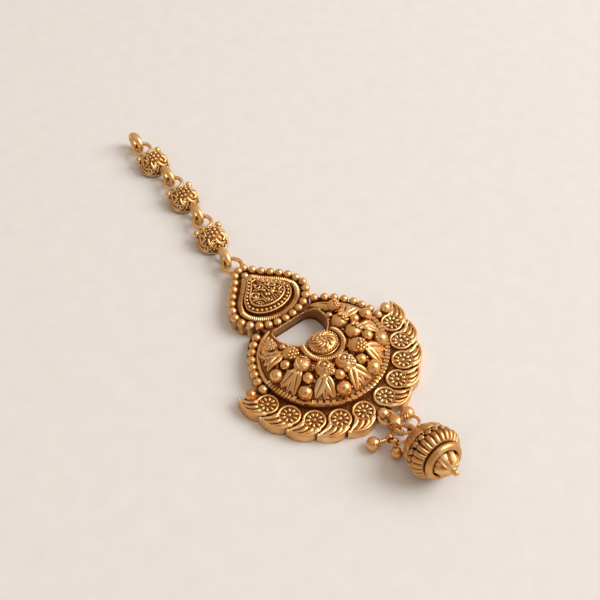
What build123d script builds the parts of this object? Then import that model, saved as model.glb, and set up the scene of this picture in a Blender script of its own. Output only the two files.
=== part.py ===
from build123d import *
import math
import os

# A maang tikka (forehead jewel) of antique gold-plated brass, lying on its back.
# Millimetres. +Z is out of the face, +Y runs up to the free end of the chain,
# and the origin is on the flat back, at the centre of the circle that the crescent follows.

# ---- driving dimensions -------------------------------------------------------------
FACE = 2.2                  # height of the mango border's face above the flat back
BED = 1.6                   # height of the sunk bed between the mangoes

# mango (paisley) border
MANGOES_PER_SIDE = 5
MANGO_FIRST = 9.5           # degrees from the bottom of the circle to the first head
MANGO_PITCH = 17.1          # degrees from one head to the next
MANGO_HEAD_CIRCLE = 15.3    # radius on which the round heads lie
MANGO_HEAD = 2.15           # radius of a round head
# tail outline, as (degrees past the head, radius from the centre of the circle)
TAIL_OUTSIDE = [(-7.6, 15.75), (-4.0, 17.55), (1.0, 18.3), (7.0, 18.6), (13.0, 18.75)]
TAIL_TIP = (18.0, 19.05)
TAIL_INSIDE = [(13.4, 17.95), (10.4, 16.95), (8.0, 15.75)]

# crescent
RIM = 12.0                  # radius of the faceted rim round the relief
RIM_WIDTH = 0.8
RIM_TOP = 2.9
OPENING = 5.3               # radius of the round opening
OPENING_Y = 6.2
BAR_Y = 9.0                 # lower edge of the plaque, which closes the opening
# height of the domed relief, as (radius, height)
RELIEF_PROFILE = [(11.45, 2.9), (10.6, 4.1), (9.2, 5.2), (8.0, 5.7), (6.5, 5.7), (5.0, 5.2), (0.0, 4.8)]
RELIEF_FALL = 0.16          # the relief gets lower towards the chain, mm per mm
RELIEF_MID = 4.7            # its height beside the centre of the circle
RELIEF_SEAT = 0.6           # how far a ball's centre stands off the relief, in its own radii

# beads along the two arms
ARM_BEAD = 0.74
ARM_BEAD_Z = 2.5
ARM_BEAD_ANGLES = [37, 46, 53.5, 62, 69.6, 76.7, 84.5, 91.7]     # degrees from +Y
ARM_BEAD_CIRCLE = (13.0, 13.85)                                  # first and last bead
ARM_OUTSIDE = 13.6
ARM_FACE = 2.0
ARM_ANGLES = (35, 93)              # degrees from +Y

# sunk bed under the mangoes
BED_INSIDE, BED_OUTSIDE = 10.5, 17.3
BED_REACH = 84                     # degrees either side of the bottom of the circle

END_BALL = 1.12
END_BALL_PLACE = (16.2, 0.0, 2.4)
END_SEAT = (3.4, 1.7, 1.9)         # block that joins an end ball to the arm
FOOT_BALL = 1.15
FOOT_BALL_PLACE = (0.0, -17.45, 1.4)

# balls and buds of the relief on one side: x, y, radius
RELIEF_BALLS = [
    (3.6, -10.3, 1.25), (2.67, -8.5, 0.9), (9.2, -6.3, 1.2), (7.4, -5.2, 0.9),
    (4.15, -5.9, 1.3), (6.4, -2.0, 1.3), (10.75, -0.3, 1.15), (8.4, 0.0, 0.9),
    (6.1, 1.1, 1.35), (7.8, 5.5, 1.2), (5.95, 4.2, 0.6),
]
RELIEF_MIDDLE_BUD = (0.0, -7.3, 1.3)

# boss in the middle
BOSS_Y = -0.7
BOSS_CAB = (3.05, 2.55, 1.5)       # half length, half width and rise of its domed top
BOSS_CAB_Z = 4.9
BOSS_WALL = (4.15, 3.3, 4.95)      # half length, half width and top of the wall under it
COLLAR = 3.8
COLLAR_WIRE = 0.58
COLLAR_Z = 5.2
COLLAR_ENDS = (148, 389)           # degrees anticlockwise from +X

# teardrop plaque: half width, lowest y, y of the widest place, apex y, top height
PLAQUE_BACK = (8.0, 9.7, 15.7, 25.2, 2.3)
PLAQUE_RING_OUT = (6.75, 10.35, 15.9, 22.9, 3.2)
PLAQUE_RING_IN = (5.65, 11.45, 15.9, 21.6, 3.2)
PLAQUE_STEP = (5.0, 12.3, 16.0, 21.5, 3.65)
PLAQUE_MOTIF = (4.05, 13.4, 16.2, 20.7, 4.1)
PLAQUE_APEX = 1.1
BAR = (11.0, 2.6, 2.3)             # flat bar along the plaque's lower edge
PLAQUE_BEADS = 27
PLAQUE_BEAD = 0.76
PLAQUE_BEAD_Z = 2.7
APEX_BALL = (0.0, 23.3, 2.6, 0.7)

# loops of the pendant
TOP_LOOP_Y = 27.55
TOP_LOOP = 1.9
TOP_LOOP_WIRE = 0.43
TOP_LOOP_Z = 2.1
FOOT_LOOP_Y = -18.5
FOOT_LOOP = 1.47
FOOT_LOOP_WIRE = 0.36
FOOT_LOOP_Z = 1.4

# chain: each motif link from the centre of its upright ring to the centre of its flat ring
LINK_ENDS = [((4.75, 57.5), (5.25, 68.35)), ((2.9, 43.9), (4.4, 54.9)), ((0.1, 30.2), (2.45, 41.3))]
UPRIGHT = 1.6                      # mean radius of the upright ring, which is drawn out lengthwise
UPRIGHT_STRETCH = 1.25
UPRIGHT_WIRE = 0.5
FLAT_RING = 1.85
FLAT_RING_WIRE = 0.43
FLAT_RING_Z = 2.1
CAP_HALF = (2.95, 2.9)             # half width and half length of the domed cap
CAP_WALL = 1.5                     # height of its plain side wall
CAP_RISE = 2.5                     # rise of the dome above that wall
CAP_FOOT = 0.3
CAP_BITE = 0.35                    # how far the flat ring is let into the cap
LINK_BALL = 0.7
LINK_BALL_PLACE = (2.6, 2.2, 1.9)  # from the middle of the cap
STEM = 0.9                         # width and height of the bar from the upright ring to the cap
END_RING = 1.7
END_RING_STRETCH = 1.15
END_RING_WIRE = 0.58
END_RING_CENTRE = (5.3, 70.9, 2.3)

# bail and drops under the pendant
BAIL_CENTRE = (-0.15, -20.56, 1.9)
BAIL = 1.6
BAIL_WIRE = 0.3
BAIL_SHIELD = (1.5, 2.6)           # width and length of its polished lens
RING_WIRE = 0.27
RING_STEP = 0.7                    # distance between the planes of the two jump rings
RING_RADIUS = 2.2
RING_HOLD = (0.0, -0.45, -0.08)    # where the rings lie in the bail, from its centre
# ball drops: centre and radius of the ball, and the ring that it hangs on
BALL_DROPS = {
    "ball_drop_left": ((-5.45, -21.0, 1.33), 1.32, "jump_ring_left"),
    "ball_drop_right": ((3.5, -20.05, 1.33), 1.32, "jump_ring_right"),
    "ball_drop_low": ((-3.35, -24.8, 1.17), 1.15, "jump_ring_left"),
}
EYE = 0.6
EYE_WIRE = 0.2

# bell drop: place of its widest ring, its heading and how far its tip is lifted
BELL_WIDE = 5.08
BELL_PLACE = (-0.3, -30.4)
BELL_TURN = -6.0
BELL_TILT = 13.0
# outside of the bell, as (distance along the axis, radius)
BELL_CAP = [(-4.9, 0.0), (-4.9, 1.1), (-4.55, 2.3), (-3.8, 3.35), (-2.9, 4.05), (-2.35, 4.2)]
BELL_BODY = [(-1.35, 4.35), (-0.9, 4.85), (0.0, BELL_WIDE), (0.9, 4.75), (1.85, 3.85), (1.95, 3.45)]
BELL_COLLAR = [(2.1, 3.65), (2.7, 3.5), (3.05, 2.9), (2.9, 2.45), (2.6, 2.3)]
BELL_TIP = [(3.3, 2.15), (4.2, 1.5), (5.0, 0.45), (5.2, 0.0)]
BELL_BEAD_ROW = (-1.85, 4.07, 0.55, 22)      # distance, radius, bead radius, count
BELL_END_BEAD = (5.55, 0.6)
BELL_HOLLOW = (-0.9, 3.6, 3.0)               # distance, radius and half length
BELL_EYE = (-6.0, 1.2, 0.32)                # distance, radius, wire radius

BASE = (Align.CENTER, Align.CENTER, Align.MIN)


# ---- helpers ------------------------------------------------------------------------
def polar(degrees, radius):
    """Point on the face, degrees anticlockwise from +X."""
    angle = math.radians(degrees)
    return (radius * math.cos(angle), radius * math.sin(angle))


def ball(x, y, z, radius):
    return Pos(x, y, z) * Sphere(radius)


def post(x, y, z, radius):
    """A domed bead on a straight post that stands on the back."""
    return Pos(x, y, 0) * Cylinder(radius * 0.97, z, align=BASE) + ball(x, y, z, radius)


def wire_ring(radius, wire, stretch):
    """Upright ring across X, drawn out along Y."""
    return scale(Rot(0, 90, 0) * Torus(radius, wire), by=(1, stretch, 1))


# ---- pendant ------------------------------------------------------------------------
def mango_tail(side, head):
    """Curved tail of one mango, on the left (-1) or right (1) of the axis."""
    def place(past, radius):
        return polar(-90 + side * (head + past), radius)
    outer = Spline([place(*p) for p in TAIL_OUTSIDE] + [place(*TAIL_TIP)])
    inner = Spline([place(*TAIL_TIP)] + [place(*p) for p in TAIL_INSIDE])
    close = Line(place(*TAIL_INSIDE[-1]), place(*TAIL_OUTSIDE[0]))
    return extrude(make_face([outer, inner, close]), FACE)


def mango_border():
    pieces = []
    for side in (-1, 1):
        for k in range(MANGOES_PER_SIDE):
            head = MANGO_FIRST + MANGO_PITCH * k
            x, y = polar(-90 + side * head, MANGO_HEAD_CIRCLE)
            pieces.append(mango_tail(side, head))
            pieces.append(Pos(x, y, 0) * Cylinder(MANGO_HEAD, FACE, align=BASE))
    return pieces


def sector(inside, outside, start, end, height):
    """Flat piece of a ring between two radii, from start to end degrees."""
    middle = (start + end) / 2
    outer = ThreePointArc(polar(start, outside), polar(middle, outside), polar(end, outside))
    inner = ThreePointArc(polar(end, inside), polar(middle, inside), polar(start, inside))
    first = Line(polar(start, inside), polar(start, outside))
    last = Line(polar(end, outside), polar(end, inside))
    return extrude(make_face([outer, last, inner, first]), height)


def bed():
    """Sunk bed that carries the mangoes and the arms, round the relief."""
    mango_bed = sector(BED_INSIDE, BED_OUTSIDE, -90 - BED_REACH, -90 + BED_REACH, BED)
    top, foot = ARM_ANGLES
    right = sector(BED_INSIDE, ARM_OUTSIDE, 90 - foot, 90 - top, ARM_FACE)
    left = sector(BED_INSIDE, ARM_OUTSIDE, 90 + top, 90 + foot, ARM_FACE)
    x, y, z = END_BALL_PLACE
    seats = [Pos(s * (x - 0.4), y - 0.3, 0) * Box(*END_SEAT, align=BASE) for s in (-1, 1)]
    return [mango_bed, right, left] + seats


def relief_height(x, y):
    """Height of the domed relief's surface."""
    radius = math.hypot(x, y)
    dome = RELIEF_PROFILE[0][1]
    for (outer, low), (inner, high) in zip(RELIEF_PROFILE, RELIEF_PROFILE[1:]):
        if inner <= radius <= outer:
            dome = low + (high - low) * (outer - radius) / (outer - inner)
    return min(dome, RELIEF_MID - RELIEF_FALL * y)


def seated_ball(x, y, radius):
    """Ball soldered on the relief."""
    return ball(x, y, relief_height(x, y) + RELIEF_SEAT * radius, radius)


def relief():
    """Domed crescent between the opening and the faceted rim."""
    edge = [(0, 0), (RELIEF_PROFILE[0][0], 0)] + RELIEF_PROFILE
    face = make_face([Line(a, b) for a, b in zip(edge, edge[1:])] + [Line(edge[-1], edge[0])])
    dome = revolve(Plane.XZ * face, Axis.Z)
    lid = Pos(0, 0, RELIEF_MID) * Rot(-math.degrees(math.atan(RELIEF_FALL)), 0, 0)
    return dome & (lid * Box(40, 40, 20, align=(Align.CENTER, Align.CENTER, Align.MAX)))


def rim():
    ring = Cylinder(RIM + RIM_WIDTH / 2, RIM_TOP, align=BASE)
    return ring - Cylinder(RIM - RIM_WIDTH / 2, RIM_TOP, align=BASE)


def boss():
    half_x, half_y, rise = BOSS_CAB
    wall_x, wall_y, wall_top = BOSS_WALL
    wall = extrude(Pos(0, BOSS_Y) * Ellipse(wall_x, wall_y), wall_top)
    cab = Pos(0, BOSS_Y, BOSS_CAB_Z) * scale(Sphere(1), by=(half_x, half_y, rise))
    start, end = COLLAR_ENDS
    section = Pos(COLLAR, 0, 0) * (Plane.XZ * Circle(COLLAR_WIRE))
    collar = Pos(0, BOSS_Y, COLLAR_Z) * Rot(0, 0, start) * revolve(section, Axis.Z, end - start)
    return [wall, cab, collar]


def arm_beads():
    beads = []
    first, last = ARM_BEAD_CIRCLE
    for i, angle in enumerate(ARM_BEAD_ANGLES):
        radius = first + (last - first) * i / (len(ARM_BEAD_ANGLES) - 1)
        for side in (-1, 1):
            x, y = polar(90 + side * angle, radius)
            beads.append(post(x, y, ARM_BEAD_Z, ARM_BEAD))
    return beads


def teardrop_edges(half_width, low, wide, apex):
    """Plaque outline: half an ellipse below, a convex side left and right, a short top."""
    flat = PLAQUE_APEX * half_width / PLAQUE_BACK[0]
    rise = apex - wide
    bottom = EllipticalCenterArc((0, wide), half_width, wide - low, start_angle=180, arc_size=180)
    side = [(half_width, wide), (half_width * 0.83, wide + rise * 0.32),
            (half_width * 0.385, wide + rise * 0.73), (flat, apex)]
    right = Spline(side, tangents=[(0, 1), (-0.6, 0.8)])
    left = Spline([(-x, y) for x, y in side], tangents=[(0, 1), (0.6, 0.8)])
    return bottom, right, left, Line((flat, apex), (-flat, apex))


def teardrop(half_width, low, wide, apex, height):
    return extrude(make_face(teardrop_edges(half_width, low, wide, apex)), height)


def plaque():
    bar = Pos(0, BAR_Y, 0) * Box(*BAR, align=(Align.CENTER, Align.MIN, Align.MIN))
    ring = teardrop(*PLAQUE_RING_OUT) - teardrop(*PLAQUE_RING_IN)
    pieces = [teardrop(*PLAQUE_BACK), ring, bar, teardrop(*PLAQUE_STEP), teardrop(*PLAQUE_MOTIF)]
    pieces.append(ball(*APEX_BALL))
    bottom, right, left, _ = teardrop_edges(*PLAQUE_BACK[:4])
    border = Wire([right, bottom, left])
    for i in range(PLAQUE_BEADS):
        at = border.position_at(i / (PLAQUE_BEADS - 1))
        pieces.append(post(at.X, at.Y, PLAQUE_BEAD_Z, PLAQUE_BEAD))
    return pieces


def pendant():
    disc = Cylinder(RIM, BED, align=BASE)
    body = disc + bed() + [relief(), rim()]
    body -= Pos(0, OPENING_Y, -1) * Cylinder(OPENING, 12, align=BASE)
    body -= Pos(0, BAR_Y, -1) * Box(2 * (OPENING + 0.35), 8, 12, align=(Align.CENTER, Align.MIN, Align.MIN))
    details = boss() + mango_border() + arm_beads() + plaque()
    for x, y, radius in RELIEF_BALLS:
        details += [seated_ball(x, y, radius), seated_ball(-x, y, radius)]
    details.append(seated_ball(*RELIEF_MIDDLE_BUD))
    x, y, z = END_BALL_PLACE
    details += [ball(x, y, z, END_BALL), ball(-x, y, z, END_BALL), ball(*FOOT_BALL_PLACE, FOOT_BALL)]
    details.append(Pos(0, TOP_LOOP_Y, TOP_LOOP_Z) * Torus(TOP_LOOP, TOP_LOOP_WIRE))
    details.append(Pos(0, FOOT_LOOP_Y, FOOT_LOOP_Z) * Torus(FOOT_LOOP, FOOT_LOOP_WIRE))
    return body + details


# ---- chain --------------------------------------------------------------------------
def chain_link(lower, upper):
    """One motif link: upright ring, domed cap with two balls, and flat ring."""
    lower, upper = Vector(*lower, 0), Vector(*upper, 0)
    way = upper - lower
    turn = -math.degrees(math.atan2(way.X, way.Y))
    frame = Pos(lower.X, lower.Y, 0) * Rot(0, 0, turn)
    length = way.length
    half_x, half_y = CAP_HALF
    middle = length - FLAT_RING - FLAT_RING_WIRE + CAP_BITE - half_y
    wall = extrude(Pos(0, middle) * Ellipse(half_x, half_y), CAP_WALL)
    dome = Pos(0, middle, CAP_FOOT + CAP_WALL) * scale(Sphere(1), by=(half_x, half_y, CAP_RISE))
    cap = Pos(0, 0, CAP_FOOT) * wall + (dome & Pos(0, middle, CAP_FOOT + 0.5) * Box(8, 8, 6, align=BASE))
    upright = Pos(0, 0, UPRIGHT + UPRIGHT_WIRE) * wire_ring(UPRIGHT, UPRIGHT_WIRE, UPRIGHT_STRETCH)
    far_side = UPRIGHT * UPRIGHT_STRETCH
    stem_length = middle - half_y - far_side + 0.4
    stem_place = Pos(0, far_side, CAP_FOOT + CAP_WALL - STEM / 4)
    stem = stem_place * Box(STEM, stem_length, STEM, align=(Align.CENTER, Align.MIN, Align.CENTER))
    flat = Pos(0, length, FLAT_RING_Z) * Torus(FLAT_RING, FLAT_RING_WIRE)
    ball_x, ball_y, ball_z = LINK_BALL_PLACE
    balls = [ball(s * ball_x, middle + ball_y, ball_z, LINK_BALL) for s in (-1, 1)]
    return frame * (cap + [upright, stem, flat] + balls)


def end_ring():
    return Pos(*END_RING_CENTRE) * wire_ring(END_RING, END_RING_WIRE, END_RING_STRETCH)


# ---- bail, jump rings and drops -----------------------------------------------------
def bail():
    """Upright ring whose upper half widens into a polished lens."""
    width, length = BAIL_SHIELD
    ring = wire_ring(BAIL, BAIL_WIRE, 1.0)
    lens_radius = (width ** 2 + length ** 2) / (4 * width)
    shift = lens_radius - width / 2
    lens = Pos(shift, 0) * Circle(lens_radius) & Pos(-shift, 0) * Circle(lens_radius)
    half = BAIL_WIRE * 0.85
    band = Rot(0, 90, 0) * (Cylinder(BAIL + half, width) - Cylinder(BAIL - half, width))
    return Pos(*BAIL_CENTRE) * (ring + (band & extrude(lens, BAIL + 1)))


def bell_frame():
    """Plane whose z axis is the bell's axis, from the widest ring to the tip."""
    turn, tilt = math.radians(BELL_TURN), math.radians(BELL_TILT)
    axis = Vector(math.sin(turn) * math.cos(tilt), -math.cos(turn) * math.cos(tilt), math.sin(tilt))
    centre = Vector(*BELL_PLACE, BELL_WIDE * math.cos(tilt))
    return Plane(origin=centre, x_dir=Vector(0, 0, 1).cross(axis).normalized(), z_dir=axis)


def ring_plane(start, end, side):
    """Plane of a jump ring through two points: x to the second point, y to one side."""
    along = end - start
    across = along.cross(Vector(0, 0, side)).normalized()
    off = math.sqrt(RING_RADIUS ** 2 - along.dot(along) / 4)
    centre = (start + end) * 0.5 + across * off
    return Plane(origin=centre, x_dir=along.normalized(), z_dir=along.cross(across).normalized())


def jump_ring_planes():
    """Planes of the two rings that join the bail to the bell's eye, one above the other."""
    eye = bell_frame().from_local_coords(Vector(0, 0, BELL_EYE[0]))
    hold = Vector(*BAIL_CENTRE) + Vector(*RING_HOLD)
    lift = Vector(1, 0, 0).cross(eye - hold).normalized()
    if lift.Z < 0:
        lift = lift * -1
    lift = lift * (RING_STEP / 2)
    return {"jump_ring_left": ring_plane(hold - lift, eye - lift, 1),
            "jump_ring_right": ring_plane(hold + lift, eye + lift, -1)}


def ball_drop(centre, radius, plane):
    """A ball with a short wire and an eye, which holds the nearest place of a jump ring."""
    centre = Vector(*centre)
    near = plane.to_local_coords(centre)
    outward = Vector(near.X, near.Y, 0).normalized()
    eye = plane.from_local_coords(outward * RING_RADIUS)
    tangent = plane.from_local_coords(Vector(-outward.Y, outward.X, 0)) - plane.origin
    way = eye - centre
    stem_wire = Cylinder(EYE_WIRE * 1.7, way.length - EYE, align=BASE)
    stem = Plane(origin=centre, z_dir=way.normalized()) * stem_wire
    loop = Plane(origin=eye, x_dir=way.normalized(), z_dir=tangent.normalized()) * Torus(EYE, EYE_WIRE)
    return Pos(centre) * Sphere(radius) + stem + loop


def bell_drop():
    """Hollow bell with a domed cap, fluted body, collar and pointed tip, and its eye."""
    outside = BELL_CAP + BELL_BODY + BELL_COLLAR + BELL_TIP
    points = [(radius, along) for along, radius in outside]
    edges = [Line(a, b) for a, b in zip(points, points[1:])] + [Line(points[-1], points[0])]
    shell = revolve(Plane.XZ * make_face(edges), Axis.Z)
    hollow_along, hollow_radius, hollow_half = BELL_HOLLOW
    hollow = Pos(0, 0, hollow_along) * scale(Sphere(1), by=(hollow_radius, hollow_radius, hollow_half))
    along, radius, bead, count = BELL_BEAD_ROW
    beads = []
    for i in range(count):
        x, y = polar(360 * i / count, radius)
        beads.append(ball(x, y, along, bead))
    tip_along, tip_radius = BELL_END_BEAD
    eye_along, eye, wire = BELL_EYE
    pieces = beads + [ball(0, 0, tip_along, tip_radius)]
    pieces.append(Pos(0, 0, eye_along) * Rot(0, 90, 0) * Torus(eye, wire))
    return bell_frame() * (shell - hollow + pieces)


def main():
    os.makedirs("parts", exist_ok=True)
    nodes = {"pendant": pendant(), "end_ring": end_ring(), "bail": bail(), "bell_drop": bell_drop()}
    for number, (lower, upper) in enumerate(LINK_ENDS, start=1):
        nodes[f"chain_link_{number}"] = chain_link(lower, upper)
    planes = jump_ring_planes()
    for name, plane in planes.items():
        nodes[name] = plane * Torus(RING_RADIUS, RING_WIRE)
    for name, (centre, radius, ring) in BALL_DROPS.items():
        nodes[name] = ball_drop(centre, radius, planes[ring])
    for name, shape in nodes.items():
        solids = shape.solids()
        print(name, len(solids), "solid", round(sum(s.volume for s in solids), 2), "mm3")
        export_step(shape, f"parts/{name}.step")


main()
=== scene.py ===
# %% [markdown]
# # A maang tikka, cell by cell
# A maang tikka is a forehead jewel: a short chain hooks into the parting of the hair, and an openwork
# pendant lies on the forehead with a small bell under it. This one is gold-plated brass, antiqued, so
# that dark grime stays in the recesses and the high places are rubbed bright.
#
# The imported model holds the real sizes. It could be dressed with a texture alone, but the beads, petals
# and flutes catch the light because they are shapes, so each of its nodes is replaced by modelled metal.

# %% Load the frame
import math
import random
from contextlib import contextmanager

import bmesh
import bpy
from mathutils import Matrix, Vector, noise


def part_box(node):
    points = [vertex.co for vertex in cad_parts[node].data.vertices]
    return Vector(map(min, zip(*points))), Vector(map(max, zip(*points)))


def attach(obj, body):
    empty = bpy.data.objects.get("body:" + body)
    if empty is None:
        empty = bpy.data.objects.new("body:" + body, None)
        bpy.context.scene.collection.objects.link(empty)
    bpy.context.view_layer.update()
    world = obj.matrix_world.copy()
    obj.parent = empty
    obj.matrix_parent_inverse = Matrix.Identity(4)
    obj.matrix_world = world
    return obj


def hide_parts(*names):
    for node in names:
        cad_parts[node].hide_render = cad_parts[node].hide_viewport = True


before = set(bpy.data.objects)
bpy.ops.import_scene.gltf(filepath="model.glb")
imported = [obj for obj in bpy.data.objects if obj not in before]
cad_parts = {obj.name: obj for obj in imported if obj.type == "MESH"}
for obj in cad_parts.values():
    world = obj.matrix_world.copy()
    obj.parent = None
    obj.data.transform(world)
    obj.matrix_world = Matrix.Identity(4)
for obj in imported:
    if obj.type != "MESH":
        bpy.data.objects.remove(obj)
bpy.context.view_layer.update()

print("nodes:", ", ".join(sorted(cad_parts)))

# %% [markdown]
# ## Small tools
# Everything is in metres, but jewellery is measured in millimetres, so the numbers below are millimetres
# and are multiplied by `MM` where they reach Blender. An operator works on whatever is selected, so
# `only` and `start` first clear the selection. Faces and edges are then picked in code, by their place.

# %% Selection and edit mode
MM = 0.001
MERGE = 0.004 * MM       # vertices nearer than this become one


def short(values):
    """Rounded numbers, for printing."""
    return [round(value, 2) for value in values]


def only(*pieces):
    """Selects these objects and no others. The last one is the active one."""
    bpy.ops.object.select_all(action="DESELECT")
    for piece in pieces:
        piece.select_set(True)
    bpy.context.view_layer.objects.active = pieces[-1]


def start(kind, **settings):
    """Adds a primitive with nothing else selected, and returns its object."""
    bpy.ops.object.select_all(action="DESELECT")
    getattr(bpy.ops.mesh, f"primitive_{kind}_add")(**settings)
    return bpy.context.object


@contextmanager
def edit(piece, part="FACE", action="DESELECT"):
    """Edit mode on one piece, with nothing selected unless the action is SELECT."""
    only(piece)
    bpy.ops.object.mode_set(mode="EDIT")
    bpy.ops.mesh.select_mode(type=part)
    bpy.ops.mesh.select_all(action=action)
    yield
    bpy.ops.object.mode_set(mode="OBJECT")


def pick(piece, parts, test):
    """In edit mode, selects the verts, edges or faces that pass a test of their place."""
    mesh = bmesh.from_edit_mesh(piece.data)
    for item in getattr(mesh, parts):
        item.select_set(bool(test(item)))
    mesh.select_flush_mode()
    bmesh.update_edit_mesh(piece.data)


def bevelled(piece, width, segments):
    """The piece with every edge bevelled by a modifier, which is applied."""
    only(piece)
    modifier = piece.modifiers.new("Bevel", "BEVEL")
    modifier.width, modifier.segments = width * MM, segments
    bpy.ops.object.modifier_apply(modifier=modifier.name)
    return piece


def close_up(piece):
    """Merges doubled vertices and turns every face outwards."""
    with edit(piece, "VERT", "SELECT"):
        bpy.ops.mesh.remove_doubles(threshold=MERGE)
        bpy.ops.mesh.normals_make_consistent(inside=False)
    return piece


def join(pieces):
    """Joins pieces into the last one."""
    only(*pieces)
    if len(pieces) > 1:
        bpy.ops.object.join()
    return bpy.context.object


# %% [markdown]
# ## Points and paths
# Much of the jewel is drawn: a few places are given and a smooth line runs through them. A
# Bezier curve could do that, but its handles would have to be set as well. This curve needs only the
# places themselves.

# %% Points and paths
def mm(*values):
    """A point given in millimetres."""
    return Vector(values).to_3d() * MM


def blend(a, b, share):
    """The number that lies a share of the way from a to b."""
    return a + (b - a) * share


def held(value):
    """The number, held between 0 and 1."""
    return min(max(value, 0), 1)


def oval(degrees, half_x, half_y):
    """A point on an oval round the origin, anticlockwise from +X."""
    angle = math.radians(degrees)
    return half_x * math.cos(angle), half_y * math.sin(angle)


def polar(degrees, radius):
    """A point on a circle round the origin."""
    return oval(degrees, radius, radius)


def bearing(x, y):
    """The direction of a point seen from the origin, in degrees from +X."""
    return math.degrees(math.atan2(y, x))


def moved(outline, x, y):
    """The points of a flat outline, moved."""
    return [(p[0] + x, p[1] + y) for p in outline]


def oval_line(half_x, half_y, step, x=0, y=0):
    """An oval outline with a point every step degrees."""
    return moved([oval(a, half_x, half_y) for a in range(0, 360, step)], x, y)


def raised(outline, z):
    """The points of a flat outline, all at one height."""
    return [(p[0], p[1], z) for p in outline]


def at_share(path, share):
    """The point that is a share of the way through a list of points."""
    return path[round(share * (len(path) - 1))]


def smooth_path(spots, count):
    """A curve through a few points, as count points."""
    spots = [Vector(spot).to_3d() for spot in spots]
    ends = [2 * spots[0] - spots[1]] + spots + [2 * spots[-1] - spots[-2]]
    path = []
    for i in range(count):
        whole = min(i / (count - 1) * (len(spots) - 1), len(spots) - 1.0001)
        k, t = int(whole), whole % 1
        a, b, c, d = ends[k:k + 4]
        path.append(0.5 * ((2 * b) + (c - a) * t + (2 * a - 5 * b + 4 * c - d) * t ** 2
                           + (3 * b - a - 3 * c + d) * t ** 3))
    return path


def drawn_in(outline, by):
    """A closed outline of (x, y) with every point moved inwards by so many mm."""
    drawn, area = [], 0.0
    for i, (x, y) in enumerate(outline):
        (before_x, before_y), (after_x, after_y) = outline[i - 1], outline[(i + 1) % len(outline)]
        area += x * after_y - after_x * y
        way = Vector((after_x - before_x, after_y - before_y)).normalized()
        drawn.append((x, y, -way.y, way.x))
    side = by if area > 0 else -by
    return [(x + nx * side, y + ny * side) for x, y, nx, ny in drawn]


def spaced(path, count, closed=False):
    """count points, evenly spaced along a path of short runs."""
    path = [Vector(spot).to_3d() for spot in path]
    if closed:
        path = path + [path[0]]
    lengths = [0.0]
    for a, b in zip(path, path[1:]):
        lengths.append(lengths[-1] + (b - a).length)
    spots, k = [], 0
    for i in range(count):
        goal = lengths[-1] * i / (count if closed else count - 1)
        while k < len(path) - 2 and lengths[k + 1] < goal:
            k += 1
        run = max(lengths[k + 1] - lengths[k], 1e-9)
        spots.append(path[k].lerp(path[k + 1], min((goal - lengths[k]) / run, 1)))
    return spots


# %% [markdown]
# ## Shaping tools
# A wire could be a stretched cylinder, but a curve with a round bevel follows any path and may get
# thicker and thinner on the way, so `wire` makes a curve and turns it into a mesh. A turned piece is a
# profile that is spun round an axis. A wavy sheet is a grid whose vertices are put in place by a
# formula, which keeps every face a neat four-sided one.

# %% Wire, slab, turned piece, sheet and ring
def wire(path, radius, closed=False, rounds=2, widths=None, flat=1.0):
    """A wire along a path in mm. widths scale its radius from end to end; flat stretches its height."""
    curve = bpy.data.curves.new("wire", "CURVE")
    curve.dimensions = "3D"
    curve.bevel_depth = radius * MM
    curve.bevel_resolution = rounds
    curve.use_fill_caps = not closed
    line = curve.splines.new("POLY")
    line.points.add(len(path) - 1)
    for i, spot in enumerate(path):
        line.points[i].co = (*mm(*spot), 1)
        line.points[i].radius = widths[i] if widths else 1
    line.use_cyclic_u = closed
    piece = bpy.data.objects.new("wire", curve)
    bpy.context.collection.objects.link(piece)
    only(piece)
    bpy.ops.object.convert(target="MESH")
    piece = bpy.context.object
    if flat != 1.0:
        level = sum(spot[2] for spot in path) / len(path) * MM
        for vertex in piece.data.vertices:
            vertex.co.z = level + (vertex.co.z - level) * flat
    return piece


def tapered(path, radius, power, rounds=2):
    """A wire that is thickest in the middle of its length."""
    last = len(path) - 1
    widths = [0.6 + 0.4 * abs(math.sin(math.pi * i / last)) ** power for i in range(last + 1)]
    return wire(path, radius, rounds=rounds, widths=widths)


def slab(outline, low, high, edge=0.0):
    """A flat plate: a circle whose vertices are pulled to the outline, filled, extruded and bevelled."""
    piece = start("circle", vertices=len(outline), radius=MM, fill_type="NGON")
    for vertex, spot in zip(piece.data.vertices, outline):
        vertex.co = mm(spot[0], spot[1], low)
    with edit(piece, action="SELECT"):
        bpy.ops.mesh.extrude_region_move(TRANSFORM_OT_translate={"value": (0, 0, (high - low) * MM)})
        if edge:
            bpy.ops.mesh.select_mode(type="EDGE")
            pick(piece, "edges", lambda e: min(v.co.z for v in e.verts) > (high - 0.001) * MM)
            bpy.ops.mesh.bevel(offset=edge * MM, segments=2, affect="EDGES")
    return close_up(piece)


def turned(profile, steps):
    """A profile of (radius, height) in mm, spun round the z axis and closed at the poles."""
    piece = start("circle", vertices=len(profile), radius=MM)
    for vertex, (radius, height) in zip(piece.data.vertices, profile):
        vertex.co = mm(radius, 0, height)
    last = len(profile) - 1
    with edit(piece, "EDGE"):
        pick(piece, "edges", lambda e: {v.index for v in e.verts} == {0, last})
        bpy.ops.mesh.delete(type="EDGE")
        bpy.ops.mesh.select_all(action="SELECT")
        bpy.ops.mesh.spin(steps=steps, angle=2 * math.pi, center=(0, 0, 0), axis=(0, 0, 1))
    return close_up(piece)


def sheet(columns, rows, place):
    """A grid whose vertices are put where place(u, v) says, in mm, with u and v from 0 to 1."""
    piece = start("grid", x_subdivisions=columns, y_subdivisions=rows, size=2)
    for vertex in piece.data.vertices:
        vertex.co = mm(*place((vertex.co.x + 1) / 2, (vertex.co.y + 1) / 2))
    return close_up(piece)


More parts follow.
